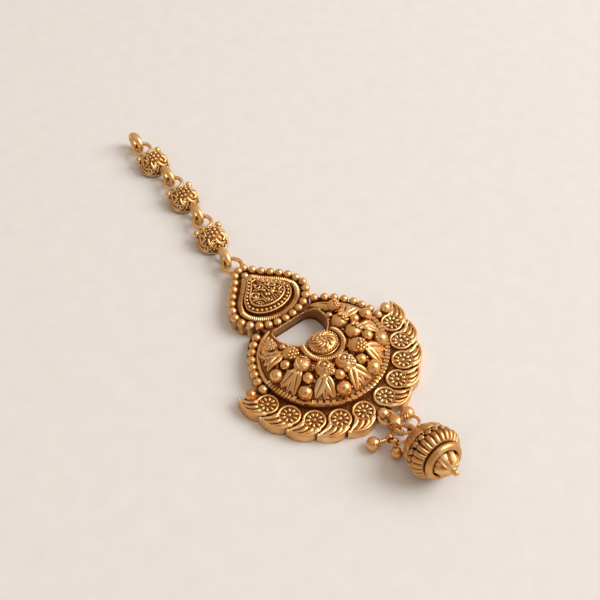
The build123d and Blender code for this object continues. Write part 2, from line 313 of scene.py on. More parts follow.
def ring(radius, thick, matrix, steps=48, rounds=14):
    """A torus in mm, moved by a matrix."""
    piece = start("torus", major_segments=steps, minor_segments=rounds, major_radius=radius * MM,
                  minor_radius=thick * MM)
    piece.data.transform(matrix)
    return piece


# %% [markdown]
# ## Copies and finished pieces
# Beads, petals and granules repeat. Each is modelled once, lying at the origin, and then copied with a
# mesh of its own to every place that needs it. An array modifier could do the same for one straight
# row, but these rows bend. `finish` names a piece and says what it rides on and what it stands for.

# %% Copy and finish
masters = []                  # pieces that are there only to be copied


def put(x, y, z=0.0, size=1.0, turn=0.0):
    """A matrix that scales a master piece, turns it about the upright axis and moves it."""
    scale = Matrix.Diagonal((*(size if isinstance(size, tuple) else (size,) * 3), 1))
    return Matrix.Translation(mm(x, y, z)) @ Matrix.Rotation(math.radians(turn), 4, "Z") @ scale


def facing(place, way, size=1.0):
    """A matrix that scales a master piece, points its z axis along way and moves it to a place in mm."""
    lean = way.to_track_quat("Z", "Y").to_matrix().to_4x4()
    return Matrix.Translation(place * MM) @ lean @ Matrix.Scale(size, 4)


def along(place, x_way, z_way):
    """A matrix that points a piece's x and z axes along two ways and moves it to a place in mm."""
    turn = Matrix((x_way, z_way.cross(x_way), z_way)).transposed().to_4x4()
    return Matrix.Translation(place * MM) @ turn


def copies(master, matrices=(Matrix.Identity(4),)):
    """Copies a master to each matrix, each copy with its own mesh, and joins them."""
    masters.append(master)
    made = []
    for matrix in matrices:
        copy = master.copy()
        copy.data = master.data.copy()
        copy.data.transform(matrix)
        if matrix.determinant() < 0:
            copy.data.flip_normals()
        bpy.context.collection.objects.link(copy)
        made.append(copy)
    return join(made)


def finish(pieces, name, material, *nodes, angle=40, slot=None):
    """Joins pieces under one name, and gives them a material, a body and the nodes they stand for."""
    piece = join(pieces if isinstance(pieces, list) else [pieces])
    bpy.ops.object.transform_apply(location=True, rotation=True, scale=True)
    bpy.ops.object.shade_smooth_by_angle(angle=math.radians(angle))
    piece.name = piece.data.name = name
    piece.data.materials.clear()
    piece.data.materials.append(material)
    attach(piece, "root")
    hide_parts(*nodes)
    triangles = sum(len(face.vertices) - 2 for face in piece.data.polygons)
    print(f"{name}: {triangles} triangles")


# %% [markdown]
# ## The camera
# The jewel lies on its back and is seen from about fifty degrees above the table, with the chain
# running away to the upper left. A camera could be turned by hand with three angles, but pointing it
# at a place and letting `to_track_quat` find the turn is easier to read.

# %% Camera
CAMERA_AIM = mm(4.816, 11.975, 2.2)
CAMERA_HEADING = (0.62858, 0.77774)      # level direction of view
CAMERA_ELEVATION = math.radians(49.587)
CAMERA_DISTANCE = 193.9 * MM


def stand(name, data, place, way):
    """Adds a camera or a lamp at a place, looking along way."""
    thing = bpy.data.objects.new(name, data)
    bpy.context.collection.objects.link(thing)
    thing.location = place
    thing.rotation_euler = way.to_track_quat("-Z", "Y").to_euler()
    print(name, "at, in mm:", short(place / MM))
    return thing


level = math.cos(CAMERA_ELEVATION)
view_way = Vector((level * CAMERA_HEADING[0], level * CAMERA_HEADING[1], -math.sin(CAMERA_ELEVATION)))
camera_data = bpy.data.cameras.new("camera")
camera_data.lens = 60
camera_data.sensor_width = 36
camera_data.clip_start = 0.01
bpy.context.scene.camera = stand("camera", camera_data, CAMERA_AIM - view_way * CAMERA_DISTANCE, view_way)

# %% [markdown]
# ## Shader nodes
# A material could be built by hand in the shader editor. In a script each node takes a line to add and
# one for every socket, so these small functions add a node and fill its sockets in one go, with plain
# values or with links to other nodes.

# %% Shader nodes
def feed(node, feeds):
    """Fills a node's inputs, given by name or number, with plain values or other nodes' outputs."""
    for key, value in feeds.items():
        socket = next(s for i, s in enumerate(node.inputs) if key in (i, s.name) and s.enabled)
        if isinstance(value, bpy.types.NodeSocket):
            node.id_data.links.new(value, socket)
        else:
            socket.default_value = value


def look(tree, kind, feeds=None, **settings):
    """Adds a shader node, sets its plain properties and fills its inputs."""
    node = tree.nodes.new("ShaderNode" + kind)
    for name, value in settings.items():
        setattr(node, name, value)
    feed(node, feeds or {})
    return node


def new_material(name):
    """A material and its shader tree, with the Principled BSDF in it."""
    material = bpy.data.materials.new(name)
    material.use_nodes = True
    return material, material.node_tree


def noise_at(tree, scale, detail=3):
    """Noise on the piece's own coordinates. scale is in bumps for each metre."""
    spots = look(tree, "TexCoord").outputs["Object"]
    return look(tree, "TexNoise", {"Vector": spots, "Scale": scale, "Detail": detail}).outputs["Fac"]


def stretch(tree, value, low, high, to_low=0.0, to_high=1.0, how="SMOOTHSTEP"):
    """Map Range, from low..high to to_low..to_high, held inside them."""
    feeds = {"Value": value, "From Min": low, "From Max": high, "To Min": to_low, "To Max": to_high}
    return look(tree, "MapRange", feeds, interpolation_type=how).outputs["Result"]


def maths(tree, operation, a, b):
    """Adds, subtracts or multiplies two numbers, and holds the answer between 0 and 1."""
    return look(tree, "Math", {0: a, 1: b}, operation=operation, use_clamp=True).outputs["Value"]


def mixed(tree, share, a, b):
    """Mixes two colours by a share."""
    node = look(tree, "Mix", {"Factor": share, "A": a, "B": b}, data_type="RGBA")
    return next(s for s in node.outputs if s.enabled)


def ramp(tree, share, *stops):
    """A colour ramp through two (position, colour) stops."""
    node = look(tree, "ValToRGB", {"Fac": share})
    for element, (position, colour) in zip(node.color_ramp.elements, stops):
        element.position, element.color = position, colour
    return node.outputs["Color"]


# %% [markdown]
# ## Light and floor
# Metal shows what is around it. A bare lamp would leave most of the gold black, so the room is a soft
# pale world with one large lamp on the right, which gives every bead its highlight and a soft shadow
# on the left. The world is darker where the viewer stands and on the side away from the lamp, which
# gives the round pieces their form.

# %% World
ROOM_FAR, ROOM_NEAR = (0.35, 0.255, 0.175, 1), (1.0, 0.89, 0.77, 1)      # from the lamp
VIEWER = (0.10, 0.07, 0.05, 1)
LAMP_WAY = Vector((0.62, -0.42, 0.66)).normalized()

world = bpy.data.worlds.new("room")
bpy.context.scene.world = world
world.use_nodes = True
tree = world.node_tree
tree.nodes.clear()
room_way = look(tree, "TexCoord").outputs["Generated"]
by_lamp, by_viewer = [
    look(tree, "VectorMath", {0: room_way, 1: way}, operation="DOT_PRODUCT").outputs["Value"]
    for way in (LAMP_WAY, -view_way)]
room = ramp(tree, stretch(tree, by_lamp, -1.0, 1.0, how="LINEAR"), (0.0, ROOM_FAR), (1.0, ROOM_NEAR))
room = mixed(tree, stretch(tree, by_viewer, 0.93, 0.99), room, VIEWER)
background = look(tree, "Background", {"Color": room, "Strength": 0.8})
look(tree, "OutputWorld", {"Surface": background.outputs["Background"]})
bpy.context.scene.view_settings.view_transform = "Standard"
print("the room is lit from", short(LAMP_WAY))

# %% Lamp
LAMP_DISTANCE = 1.1
lamp_data = bpy.data.lights.new("lamp", "AREA")
lamp_data.shape = "DISK"
lamp_data.size = 0.8
lamp_data.energy = 9.4
lamp_data.color = (0.94, 0.97, 1.0)
stand("lamp", lamp_data, CAMERA_AIM + LAMP_WAY * LAMP_DISTANCE, -LAMP_WAY)

# %% Floor
floor = start("plane", size=1.6)
with edit(floor, action="SELECT"):
    bpy.ops.mesh.subdivide(number_cuts=3)
floor.name = floor.data.name = "floor"

paper, tree = new_material("pale paper")
shade, light = (0.775, 0.757, 0.742, 1), (0.805, 0.787, 0.772, 1)
fibres = ramp(tree, noise_at(tree, 260, 4), (0.3, shade), (0.7, light))
feed(tree.nodes["Principled BSDF"], {"Base Color": fibres, "Roughness": 0.9, "Specular IOR Level": 0.2})
floor.data.materials.append(paper)
print("floor", short(floor.dimensions))

# %% [markdown]
# ## Antique gold
# The gold is one finish with four effects on it: grime and painted shade where the metal closes in on itself,
# a rub along the edges, slow changes of colour in the plating, and the grain of a casting. Each effect
# is a node group, built once, and each material gives it its own values. The grime and painted shade could
# be painted by hand, but the Ambient Occlusion node already knows how shut in a spot is.

# %% Node groups
def group(name, inputs, label, kind):
    """A node group with some inputs and one output. Returns its tree and its two ends."""
    tree = bpy.data.node_groups.new(name, "ShaderNodeTree")
    for title, (sort, value) in inputs.items():
        socket = tree.interface.new_socket(title, in_out="INPUT", socket_type="NodeSocket" + sort)
        socket.default_value = value
    tree.interface.new_socket(label, in_out="OUTPUT", socket_type="NodeSocket" + kind)
    return tree, tree.nodes.new("NodeGroupInput").outputs, tree.nodes.new("NodeGroupOutput")


# grime and painted shade: how shut in a spot is, broken up by noise, darkens the colour as shade would
tree, given, result = group("grime_and_shade", {"Reach": ("Float", 0.9 * MM), "Open": ("Float", 0.85)},
                            "Mask", "Float")
shut_in = look(tree, "AmbientOcclusion", {"Distance": given["Reach"]}, samples=8).outputs["AO"]
patches = stretch(tree, noise_at(tree, 900), 0.3, 0.7, -0.12, 0.12)
openness = maths(tree, "ADD", shut_in, patches)
feed(result, {"Mask": stretch(tree, openness, 0.28, given["Open"], 1.0, 0.0)})

# rub: edges and the tops of small beads, where hands and cloth have rubbed the metal bright
tree, given, result = group("rub", {"Reach": ("Float", 0.2 * MM)}, "Mask", "Float")
thin = look(tree, "AmbientOcclusion", {"Distance": given["Reach"]}, samples=8, inside=True).outputs["AO"]
feed(result, {"Mask": stretch(tree, thin, 0.75, 0.35)})

# plating: slow changes between plain, pale and reddish gold
tree, given, result = group("plating", {"Gold": ("Color", (0.8, 0.5, 0.2, 1)),
                                        "Pale": ("Color", (0.9, 0.7, 0.4, 1)),
                                        "Red": ("Color", (0.6, 0.3, 0.1, 1))}, "Color", "Color")
pale_share = stretch(tree, noise_at(tree, 210, 2), 0.50, 0.75)
red_share = stretch(tree, noise_at(tree, 330), 0.52, 0.78)
pale_gold = mixed(tree, pale_share, given["Gold"], given["Pale"])
feed(result, {"Color": mixed(tree, red_share, pale_gold, given["Red"])})

# grain: the fine uneven skin of a casting
tree, given, result = group("grain", {"Depth": ("Float", 0.03 * MM)}, "Normal", "Vector")
bump = look(tree, "Bump", {"Strength": 1.0, "Distance": given["Depth"], "Height": noise_at(tree, 2600)})
feed(result, {"Normal": bump.outputs["Normal"]})
print("effects:", ", ".join(sorted(g.name for g in bpy.data.node_groups)))

# %% [markdown]
# ## Six finishes
# Raised ornament is antique gold, smooth rings and balls are polished, and the ground behind the
# ornament is a darker copy with grime and painted shade, blackened with more painted shade where it lies
# deepest. The chain is a little paler and the bell a little redder. Each could be one colour, but plating
# never is, so each has three.

# %% Gold materials
# the colour of grime and of painted shade, laid into recesses where shade falls
GRIME_AND_SHADE = (0.16, 0.040, 0.006, 1)
PLATED = (0.85, 0.48, 0.186), (0.92, 0.65, 0.34), (0.62, 0.255, 0.08)     # plain, pale and reddish


def effect(tree, name, **values):
    """Puts one of the node groups into a material."""
    return look(tree, "Group", values, node_tree=bpy.data.node_groups[name]).outputs[0]


def gold(name, colours, reach, open_at, smooth, rough, depth):
    """Antique gold: the dark of corners, both dirt and painted shade, reaches so far from a corner, and the
    casting's grain is so deep, in mm.
    """
    material, tree = new_material(name)
    plain, pale, red = [(*colour, 1) for colour in colours]
    grime_and_shade = effect(tree, "grime_and_shade", Reach=reach * MM, Open=open_at)
    rub = maths(tree, "MULTIPLY", effect(tree, "rub", Reach=0.22 * MM), 0.55)
    rubbed = mixed(tree, rub, effect(tree, "plating", Gold=plain, Pale=pale, Red=red), pale)
    mottle = stretch(tree, noise_at(tree, 1300), 0.3, 0.7, smooth, rough)
    # the base colour is darkened in recesses by grime and by painted shade
    feed(tree.nodes["Principled BSDF"], {
        "Base Color": mixed(tree, grime_and_shade, rubbed, GRIME_AND_SHADE),
        "Metallic": maths(tree, "SUBTRACT", 1.0, maths(tree, "MULTIPLY", grime_and_shade, 0.55)),
        "Roughness": maths(tree, "ADD", mottle, maths(tree, "MULTIPLY", grime_and_shade, 0.3)),
        "Specular IOR Level": 0.15,
        "Normal": effect(tree, "grain", Depth=depth * MM)})
    print("finish:", name)
    return material


antique = gold("antique gold", PLATED, 0.9, 0.81, 0.30, 0.42, 0.02)
polished = gold("polished gold", PLATED, 0.7, 0.70, 0.22, 0.32, 0.008)
# the ground's darker finishes: partly grime, partly painted shade, and blackest where it lies deepest
sunk_and_shaded = gold("sunk gold", [(0.36, 0.155, 0.045), (0.5, 0.25, 0.09), (0.25, 0.09, 0.025)],
            1.5, 0.93, 0.42, 0.58, 0.06)
blackened_and_shaded = gold("blackened gold", [(0.17, 0.066, 0.018), (0.32, 0.15, 0.05), (0.12, 0.04, 0.01)],
                 1.5, 0.93, 0.5, 0.65, 0.06)
chain_gold = gold("chain gold", [(0.86, 0.54, 0.235), (0.93, 0.70, 0.40), (0.66, 0.31, 0.11)],
                  0.85, 0.78, 0.28, 0.40, 0.02)
bell_gold = gold("bell gold", [(0.67, 0.355, 0.132), (0.86, 0.59, 0.30), (0.48, 0.20, 0.062)],
                 1.1, 0.9, 0.30, 0.42, 0.02)

# %% [markdown]
# ## The bed of the crescent
# Under all the ornament lies one flat sheet of metal with an opening in it, and the ornaments are
# soldered on. It could be cut from a disc with a Boolean, but that leaves a tangle of thin triangles.
# Here a grid is rolled round the opening instead: one way round it, the other way across the metal.
# Where the outer edge steps in, the step is slanted a little, because a sheet can't fold back on itself.

# %% Bed
RIM, HORN_TIP = 12.35, 61     # radius of the rim round the relief, and degrees up each arm to its point
HORN_IN = 1.95                # how much nearer the rim comes towards the points
OPENING, OPENING_Y = 5.3, 6.2
BAR_Y = 9.0                   # the plaque's straight lower edge, which closes the opening
FILLETS = 2.3, 0.8            # rounding of the opening's right and left corner
BED_TOP = 1.6
STEPS = [(0, 17.2), (84, 17.2), (90.5, 13.6), (145, 13.6), (150.5, 11.4), (180, 11.4)]   # degrees, radius


def rim_radius(angle):
    """The crescent narrows a little towards its points."""
    up_the_arm = min(max(0, abs((angle + 270) % 360 - 180) - 90), HORN_TIP)
    return RIM - HORN_IN * (up_the_arm / HORN_TIP) ** 1.35


def opening_edge(angle, grow=0.0):
    """A point on the edge of the opening: a circle that the bar cuts straight, its corners rounded."""
    radius, bar = OPENING + grow, BAR_Y - OPENING_Y + grow
    fillet = FILLETS[math.cos(math.radians(angle)) < 0] + grow
    corner = Vector((math.sqrt((radius - fillet) ** 2 - (bar - fillet) ** 2), bar - fillet))
    way = Vector((abs(polar(angle, 1)[0]), polar(angle, 1)[1]))
    reach = radius if way.y < 0.01 else min(radius, bar / way.y)
    if math.atan2(corner.y, corner.x) < math.atan2(way.y, way.x) < math.atan2(bar, corner.x):
        near = way.dot(corner)
        reach = near + math.sqrt(max(near ** 2 - corner.length_squared + fillet ** 2, 0))
    x, y = polar(angle, reach)
    return x, y + OPENING_Y


bed_edge = []                 # (angle, radius) from the foot up one side
for (first, radius), (last, _) in zip(STEPS[::2], STEPS[1::2]):
    bed_edge += [(blend(first, last, i / 32), radius) for i in range(33)]
bed_edge = [(-90 - a, r) for a, r in reversed(bed_edge)] + [(a - 90, r) for a, r in bed_edge[1:]]


def bed_place(u, v):
    x, y = polar(*at_share(bed_edge, u))
    corner = round(4 * v)
    if corner in (2, 3):      # the nearest place on the opening, seen from its centre
        x, y = opening_edge(bearing(x, y - OPENING_Y))
    return x, y, BED_TOP if corner in (1, 2) else 0


# the bed gets the blackened finish: grime and painted shade, since it lies deepest
finish(sheet(len(bed_edge) - 1, 4, bed_place), "bed", blackened_and_shaded, "pendant")

# %% [markdown]
# ## The domed relief
# Inside the rim the sheet swells into a padded ring, like an inflated tube, and falls to the rim and
# to the opening. It is chased into hills and hollows under the ornaments. Sculpting by hand could do
# that, but here the formula of the dome adds a little noise to its height, so that everything laid on
# the relief later can ask the same formula how high it lies.

# %% Relief
RELIEF_PROFILE = [(11.9, 2.9), (11.0, 4.0), (9.5, 5.1), (8.1, 5.7), (6.5, 5.7), (5.0, 5.2), (0.0, 4.8)]
RELIEF_FALL, RELIEF_MID = 0.16, 4.7     # slope up the arms, and its height at the middle
PLAQUE_REST = 1.9                       # where the relief runs under the plaque


def relief_height(x, y):
    """Height of the dome before it is chased."""
    radius = math.hypot(x, y) * RIM / rim_radius(bearing(x, y))
    swell = RELIEF_PROFILE[0][1]
    for (outer, low), (inner, high) in zip(RELIEF_PROFILE, RELIEF_PROFILE[1:]):
        if inner <= radius <= outer:
            swell = blend(low, high, (outer - radius) / (outer - inner))
    return min(swell, RELIEF_MID - RELIEF_FALL * y)


def on_relief(x, y, lift, size, turn=0.0):
    """A matrix that puts a master piece on the relief, so far above its height."""
    return put(x, y, relief_height(x, y) + lift, size, turn)


def relief_place(u, v):
    angle = 360 * u
    inside, outside = opening_edge(angle), polar(angle, rim_radius(angle) - 0.45)
    share = held((v - 0.1) / 0.8)
    x, y = (blend(a, b, 1 - share) for a, b in zip(outside, inside))
    if v < 0.05:
        return *inside, BED_TOP - 0.3
    if v > 0.95:
        return *outside, 0.05
    hollows = 0.22 * noise.noise(Vector((x, y, 0)) * 0.9) * (1 - abs(2 * share - 1) ** 3)
    height = relief_height(x, y) - 0.3 * (1 - (2 * share - 1) ** 6) + hollows
    under_plaque = held((y - BAR_Y + 0.2) / 0.6) if abs(x) < 5.2 or y > 9.6 else 0
    return x, y, blend(height, PLAQUE_REST, under_plaque)


finish(sheet(240, 20, relief_place), "relief", sunk_and_shaded, "pendant")

# %% [markdown]
# ## The rim and the wall of the opening
# The rim is a round strip, nicked with a file so that it glitters. The nicks could be cut with a
# Boolean. It is simpler to let a row of bevelled blocks into a smooth wire, with the nicks left
# between them. Up the arms the rim is plain, as on the jewel. The opening has a filed wall of its own
# and a polished lip, which both follow the height of the relief.

# %% Rim
RIM_WIRE = 0.46


def nick_pitch(angle):
    """How far apart the nicks are, in mm: they were filed by hand and differ along the rim."""
    return 1.2 if -150 < angle < -92 else 0.82 if angle > -92 else 0.62


rim_line = [polar(a, rim_radius(a)) for a in range(HORN_TIP, -HORN_TIP - 181, -2)]
block = bevelled(start("cube", size=MM), 0.12, 1)
blocks, angle = [], -2.0
while angle > -180:
    pitch = nick_pitch(angle)
    angle -= math.degrees(pitch / RIM)
    middle = angle + math.degrees(pitch / 2 / RIM)
    blocks.append(put(*polar(middle, RIM), 2.75, (1.06, 0.72 * pitch, 0.9), angle))
strip = wire(raised(rim_line, 2.55), RIM_WIRE, rounds=4)
finish([copies(block, blocks), strip], "rim", polished, "pendant", angle=20)
# the band under the rim gets the sunk finish: grime and painted shade
finish(wire(raised(rim_line, 1.7), RIM_WIRE, flat=1.5), "rim_band", sunk_and_shaded, "pendant")


def edge_height(x, y):
    """The top of the opening's wall: as high as the relief, and lower along the bar."""
    return blend(relief_height(x, y), 2.42, held(y - 8.0)) - 0.12


def opening_wall_place(u, v):
    corner = round(4 * v)
    x, y = opening_edge(360 * u, 0.3 if corner in (2, 3) else -0.03)
    return x, y, edge_height(x, y) if corner in (1, 2) else 0.0 if corner == 3 else 0.45


finish(sheet(180, 4, opening_wall_place), "opening_wall", sunk_and_shaded, "pendant")
edge_path = [opening_edge(a, 0.12) for a in range(0, 360, 3)]
edge_path = [(x, y, edge_height(x, y)) for x, y in edge_path]
finish(wire(edge_path, 0.2, closed=True, rounds=3), "opening_lip", polished, "pendant")

# %% [markdown]
# ## The mango border
# A mango, or paisley, is a round head with a tail that curls outwards. Ten of them stand like feathers
# round the crescent. One is modelled at the foot of the circle and copied round it, because all ten came
# from one die. Its plate could be inset and pushed down to leave a rim, but at the sharp tip an inset folds
# over itself, so the rim is a wire along the edge, with a small ball where it turns at the tip. In the
# head lies a flower of small drops, and claws sweep from the head into the tail.

# %% Mango
MANGO_CIRCLE, MANGO_HEAD = 15.3, 2.15
MANGO_FLOOR, MANGO_EDGE = 1.78, 1.93                   # heights of the plate and of the wire on its edge
EDGE_WIRE = 0.27
MANGO_ANGLES = [9.5 + 17.1 * i for i in range(5)]      # degrees from the foot of the circle
TAIL_OUTSIDE = [(-1.12, 2.3), (0.1, 3.18), (1.6, 3.55), (3.2, 3.28), (4.75, 2.6)]
TAIL_INSIDE = [(4.75, 2.6), (3.9, 2.0), (2.95, 1.4), (2.12, 0.35)]
CLAWS = [[(1.72, 0.7), (2.25, 1.35), (2.95, 1.9), (4.1, 2.42)],
         [(1.0, 1.4), (1.5, 2.05), (2.15, 2.5), (3.3, 2.9)],
         [(0.08, 1.66), (0.5, 2.3), (1.15, 2.78), (2.3, 3.12)],
         [(-0.85, 1.5), (-0.5, 2.15), (0.05, 2.62), (1.0, 3.05)]]
CLAW_WIDTHS = [0.55, 0.88, 1, 1, 0.96, 0.9, 0.83, 0.75, 0.66, 0.56, 0.45, 0.3]


def at_foot(x, y):
    """A place on a mango, from its head's centre: x to the tail, y outwards."""
    return x, -(MANGO_CIRCLE + y)


def on_mango(spots, height):
    return raised([at_foot(spot[0], spot[1]) for spot in spots], height)


far_side = [polar(a, MANGO_HEAD) for a in range(355, 129, -9)]
mango_outline = [tuple(p)[:2] for p in smooth_path([far_side[-1]] + TAIL_OUTSIDE, 26)]
mango_outline += [tuple(p)[:2] for p in smooth_path(TAIL_INSIDE, 14)[1:]] + far_side[:-1]
plate = slab(on_mango(mango_outline, 0), 0, MANGO_FLOOR)
plate_edge = wire(on_mango(drawn_in(mango_outline, 0.25), MANGO_EDGE), EDGE_WIRE, closed=True, rounds=3)

grain_bead = start("uv_sphere", segments=8, ring_count=6, radius=MM)      # open underneath, always sunk in
with edit(grain_bead):
    pick(grain_bead, "faces", lambda f: f.calc_center_median().z < -0.1 * MM)
    bpy.ops.mesh.delete(type="FACE")
drop = start("uv_sphere", segments=10, ring_count=8, radius=MM)
flower = [put(*at_foot(*polar(a, 1.14)), MANGO_FLOOR + 0.06, (0.56, 0.33, 0.4), -a)
          for a in range(10, 370, 40)]
flower += [put(*at_foot(0, 0), MANGO_FLOOR + 0.1, 0.42), put(*at_foot(4.5, 2.5), MANGO_EDGE, 0.33)]
head_arc = wire(on_mango([polar(a, 1.76) for a in range(-24, 140, 9)], MANGO_FLOOR + 0.14), 0.13, rounds=1)
claws = [wire(on_mango(smooth_path(spots, 12), MANGO_FLOOR + 0.1), 0.4, widths=CLAW_WIDTHS, rounds=3)
         for spots in CLAWS]
mango = join(claws + [head_arc, copies(drop, flower), plate_edge, plate])
half_border = copies(mango, [Matrix.Rotation(math.radians(a), 4, "Z") for a in MANGO_ANGLES])
both_halves = copies(half_border, [Matrix.Identity(4), Matrix.Diagonal((-1, 1, 1, 1))])
finish(both_halves, "mango_border", antique, "pendant", angle=50)

# %% [markdown]
# ## Beads on the edge and balls on the relief
# The arms carry a row of beads, each on a fat post, so that shadow gathers between them. They were set
# by hand, so the two rows differ a little. The bigger balls on the relief are sunk a little into it, as
# solder would hold them, each at the place it has on the jewel. A ball is a UV sphere, since its poles
# can be turned down out of sight.

# %% Beads and balls
ball = start("uv_sphere", segments=24, ring_count=14, radius=MM)
POST_TOP = 3.0                # where the master bead's centre is, above its foot
bead_profile = [(0, 0), (0.88, 0)]
bead_profile += [(r, h + POST_TOP) for r, h in [polar(a, 1.0) for a in range(-36, 85, 10)] + [(0, 1.0)]]
bead_post = turned(bead_profile, 20)


def stand_bead(x, y, top, radius, foot=0.0):
    """A bead on a post that stands at height foot, with the bead's centre at height top."""
    made = copies(bead_post)
    for vertex in made.data.vertices:
        height = vertex.co.z / MM
        vertex.co.z = (foot if height < 0.5 else top + (height - POST_TOP) * radius) * MM
        vertex.co.x, vertex.co.y = vertex.co.x * radius + x * MM, vertex.co.y * radius + y * MM
    return made


ARM_BEAD_ANGLES = [36.3, 45.1, 53.1, 61.3, 69.1, 76.3, 83.7, 91.8]   # degrees from +Y
arm_beads = []
for i, angle in enumerate(ARM_BEAD_ANGLES):
    for side in (-1, 1):
        off = 1 - i / 8       # one row stands further up than the other, most of all near the plaque
        radius = blend(12.45, 13.85, i / 7) - 0.2 * side * off
        arm_beads.append(stand_bead(*polar(90 + side * (angle + 2.2 * side * off), radius), 2.5, 0.86))
finish(arm_beads, "arm_beads", antique, "pendant")

cube = start("cube", size=MM)
seats = copies(cube, [put(side * 15.8, -0.3, 0.95, (3.4, 1.7, 1.9)) for side in (-1, 1)])
finish(bevelled(seats, 0.3, 2), "end_seats", sunk_and_shaded, "pendant")
BALLS = [(-3.35, -10.5, 1.36), (3.65, -10.35, 1.38), (-9.1, -6.8, 1.34), (9.15, -6.25, 1.36),
         (-11.0, -0.9, 1.25), (10.7, -0.3, 1.25), (-2.65, -8.45, 1.05), (2.55, -8.3, 1.03),
         (-7.4, -5.5, 1.05), (6.95, -4.95, 1.03), (-8.6, -0.5, 1.0), (8.15, 0.0, 1.0), (-6.1, 3.6, 0.62),
         (5.5, 4.1, 0.66), (7.75, 3.45, 0.6)]
EDGE_BALLS = [(16.2, 0.0, 2.4, 1.12), (-16.2, 0.0, 2.4, 1.12), (0.0, -17.45, 1.4, 1.15)]
turns = random.Random(4)
spots = [put(x, y, z, radius, turns.uniform(0, 360)) for x, y, z, radius in EDGE_BALLS]
spots += [on_relief(x, y, 0.55 * radius, radius, turns.uniform(0, 360)) for x, y, radius in BALLS]
finish(copies(ball, spots), "plain_balls", polished, "pendant")

# %% [markdown]
# ## Buds
# Between the balls sit buds. One kind has a hood that curls round a small ball, one has ribs across it,
# and one is a berry of granules. They could be sculpted, but each is a ball with wires and granules
# laid on it, as a goldsmith would build it. Granules are half domes of a few dozen faces, because there
# are hundreds of them and only their tops show.

# %% Three kinds of bud
def on_ball(angle, up):
    """A point on a ball of radius 1: degrees round it and degrees up from its equator."""
    return *polar(angle, math.cos(math.radians(up))), math.sin(math.radians(up))


def patch(angle, up, count, step, size):
    """Granules in a round patch on a unit ball: one in the middle, six round it, then twelve."""
    lean = Vector(on_ball(angle, up)).to_track_quat("Z", "Y")
    made = []
    for i in range(count):
        circle, k = (0, 0) if i == 0 else (1, i - 1) if i < 7 else (2, i - 7)
        spot = lean @ Vector(on_ball(60 * k / max(circle, 1), 90 - step * circle))
        made.append(facing(spot * 0.97, spot, size))
    return copies(grain_bead, made)


def on_bud(x, y, lift=0.0):
    """A point on the low round top of a bud, whose radius is 1."""
    return x, y, 0.85 * math.sqrt(max(1 - x * x - y * y, 0)) + lift


# a curl bud, with its hood to +Y, and its granules to -Y and +X
bulb = copies(ball, [put(0, 0, 0, (1, 1, 0.85))])
hood, hood_widths = [], []
for i in range(20):
    x, y = polar(blend(-75, 235, i / 19), blend(0.54, 0.58, i / 19))
    hood.append(on_bud(x - 0.05, y + 0.08, 0.05))
    hood_widths.append(0.45 + 0.55 * math.sin(math.pi * (i / 19 * 0.8 + 0.1)) ** 0.7)
cheeks = [put(side * 0.62, -0.78, 0.1, (0.42, 0.26, 0.4), side * 45) for side in (-1, 1)]
curl_bud = join([patch(-62, 30, 12, 19, 0.16), wire(hood, 0.19, widths=hood_widths, rounds=3),
                 copies(ball, [put(-0.05, 0.08, 0.78, 0.32)] + cheeks), copies(bulb)])

# a ribbed bud, with its hood to +Y and four ribs across its foot
ribs = []
for k in range(4):
    rib = [on_bud(0.3 * k - 0.45 + 0.06 * (k - 1.5) * t, -0.25 - 0.16 * t) for t in range(5)]
    ribs.append(wire(rib, 0.1, rounds=1))
hood_rim = moved([oval(a, 0.75, 0.42) for a in range(-20, 201, 12)], 0, 0.25)
hood_rim = wire([on_bud(*spot, 0.02) for spot in hood_rim], 0.15)
ribbed_bud = join(ribs + [hood_rim, copies(ball, [put(0, 0.2, 0.74, 0.28)]), patch(-20, 32, 7, 17, 0.15),
                          copies(bulb)])

# a berry, with a round field of granules on a smooth dome
berry = join([patch(-90, 50, 10, 23, 0.23), copies(bulb)])
for bud in (curl_bud, ribbed_bud, berry):
    print("bud of", len(bud.data.polygons), "faces")

# %% Buds in their places
SEATED = [(curl_bud, [(-0.4, -7.15, 1.72, 12), (-4.2, -6.05, 1.68, -8)]),      # x, y, radius, turn
          (ribbed_bud, [(-6.45, -2.6, 1.62, 58)]),
          (berry, [(3.85, -5.7, 1.68, -5), (5.95, -2.4, 1.62, 75), (5.75, 1.35, 1.58, 60),
                   (-6.2, 1.05, 1.6, -25), (7.5, 5.3, 1.2, 30), (-7.75, 5.0, 1.15, -20)])]
buds = []
for master, places in SEATED:
    buds.append(copies(master, [on_relief(x, y, 0.35 * radius + 0.13 * max(y - 2, 0), radius, turn)
                                for x, y, radius, turn in places]))
finish(buds, "buds", antique, "pendant")

# %% [markdown]
# ## Leaves
# From under each bud come two leaves with a crease down the middle, and a small one between them. A leaf
# could be a bent plane, but it has to lie on the dome, so it is a sheet whose height is the relief's own
# height plus the leaf's two swellings. The sheet is rolled shut underneath, so that it has a thickness.
# The four long leaves that run up the arms are flatter, with hardly a crease.

# %% Leaves
def leaf(base, tip, width, lift, bow=0.0, swell=0.5, crease=0.2):
    """A leaf from base to tip, two swellings with a crease between them, lying on the relief."""
    base, tip = Vector(base), Vector(tip)
    along = tip - base
    across = Vector((-along.y, along.x)).normalized()

    def place(u, v):
        half = width / 2 * abs(math.sin(math.pi * min(0.14 + 0.86 * u, 1) ** 0.9)) ** 0.6
        top = v <= 0.75
        t = blend(-1, 1, v / 0.75) if top else blend(1, -1, (v - 0.75) / 0.25)
        spot = base + along * u + across * (half * t + bow * math.sin(math.pi * u))
        body = swell * abs(math.sin(math.pi * min(0.25 + u * 0.75, 1))) ** 0.4
        lobe = (1 - math.exp(-abs(t) / crease)) * math.sqrt(max(1 - abs(t) ** 3, 0))
        rise = body * lobe + 0.12 if top else -0.4
        return spot.x, spot.y, relief_height(spot.x, spot.y) + lift * (1 - 0.6 * u) + rise

    return sheet(14, 32, place)


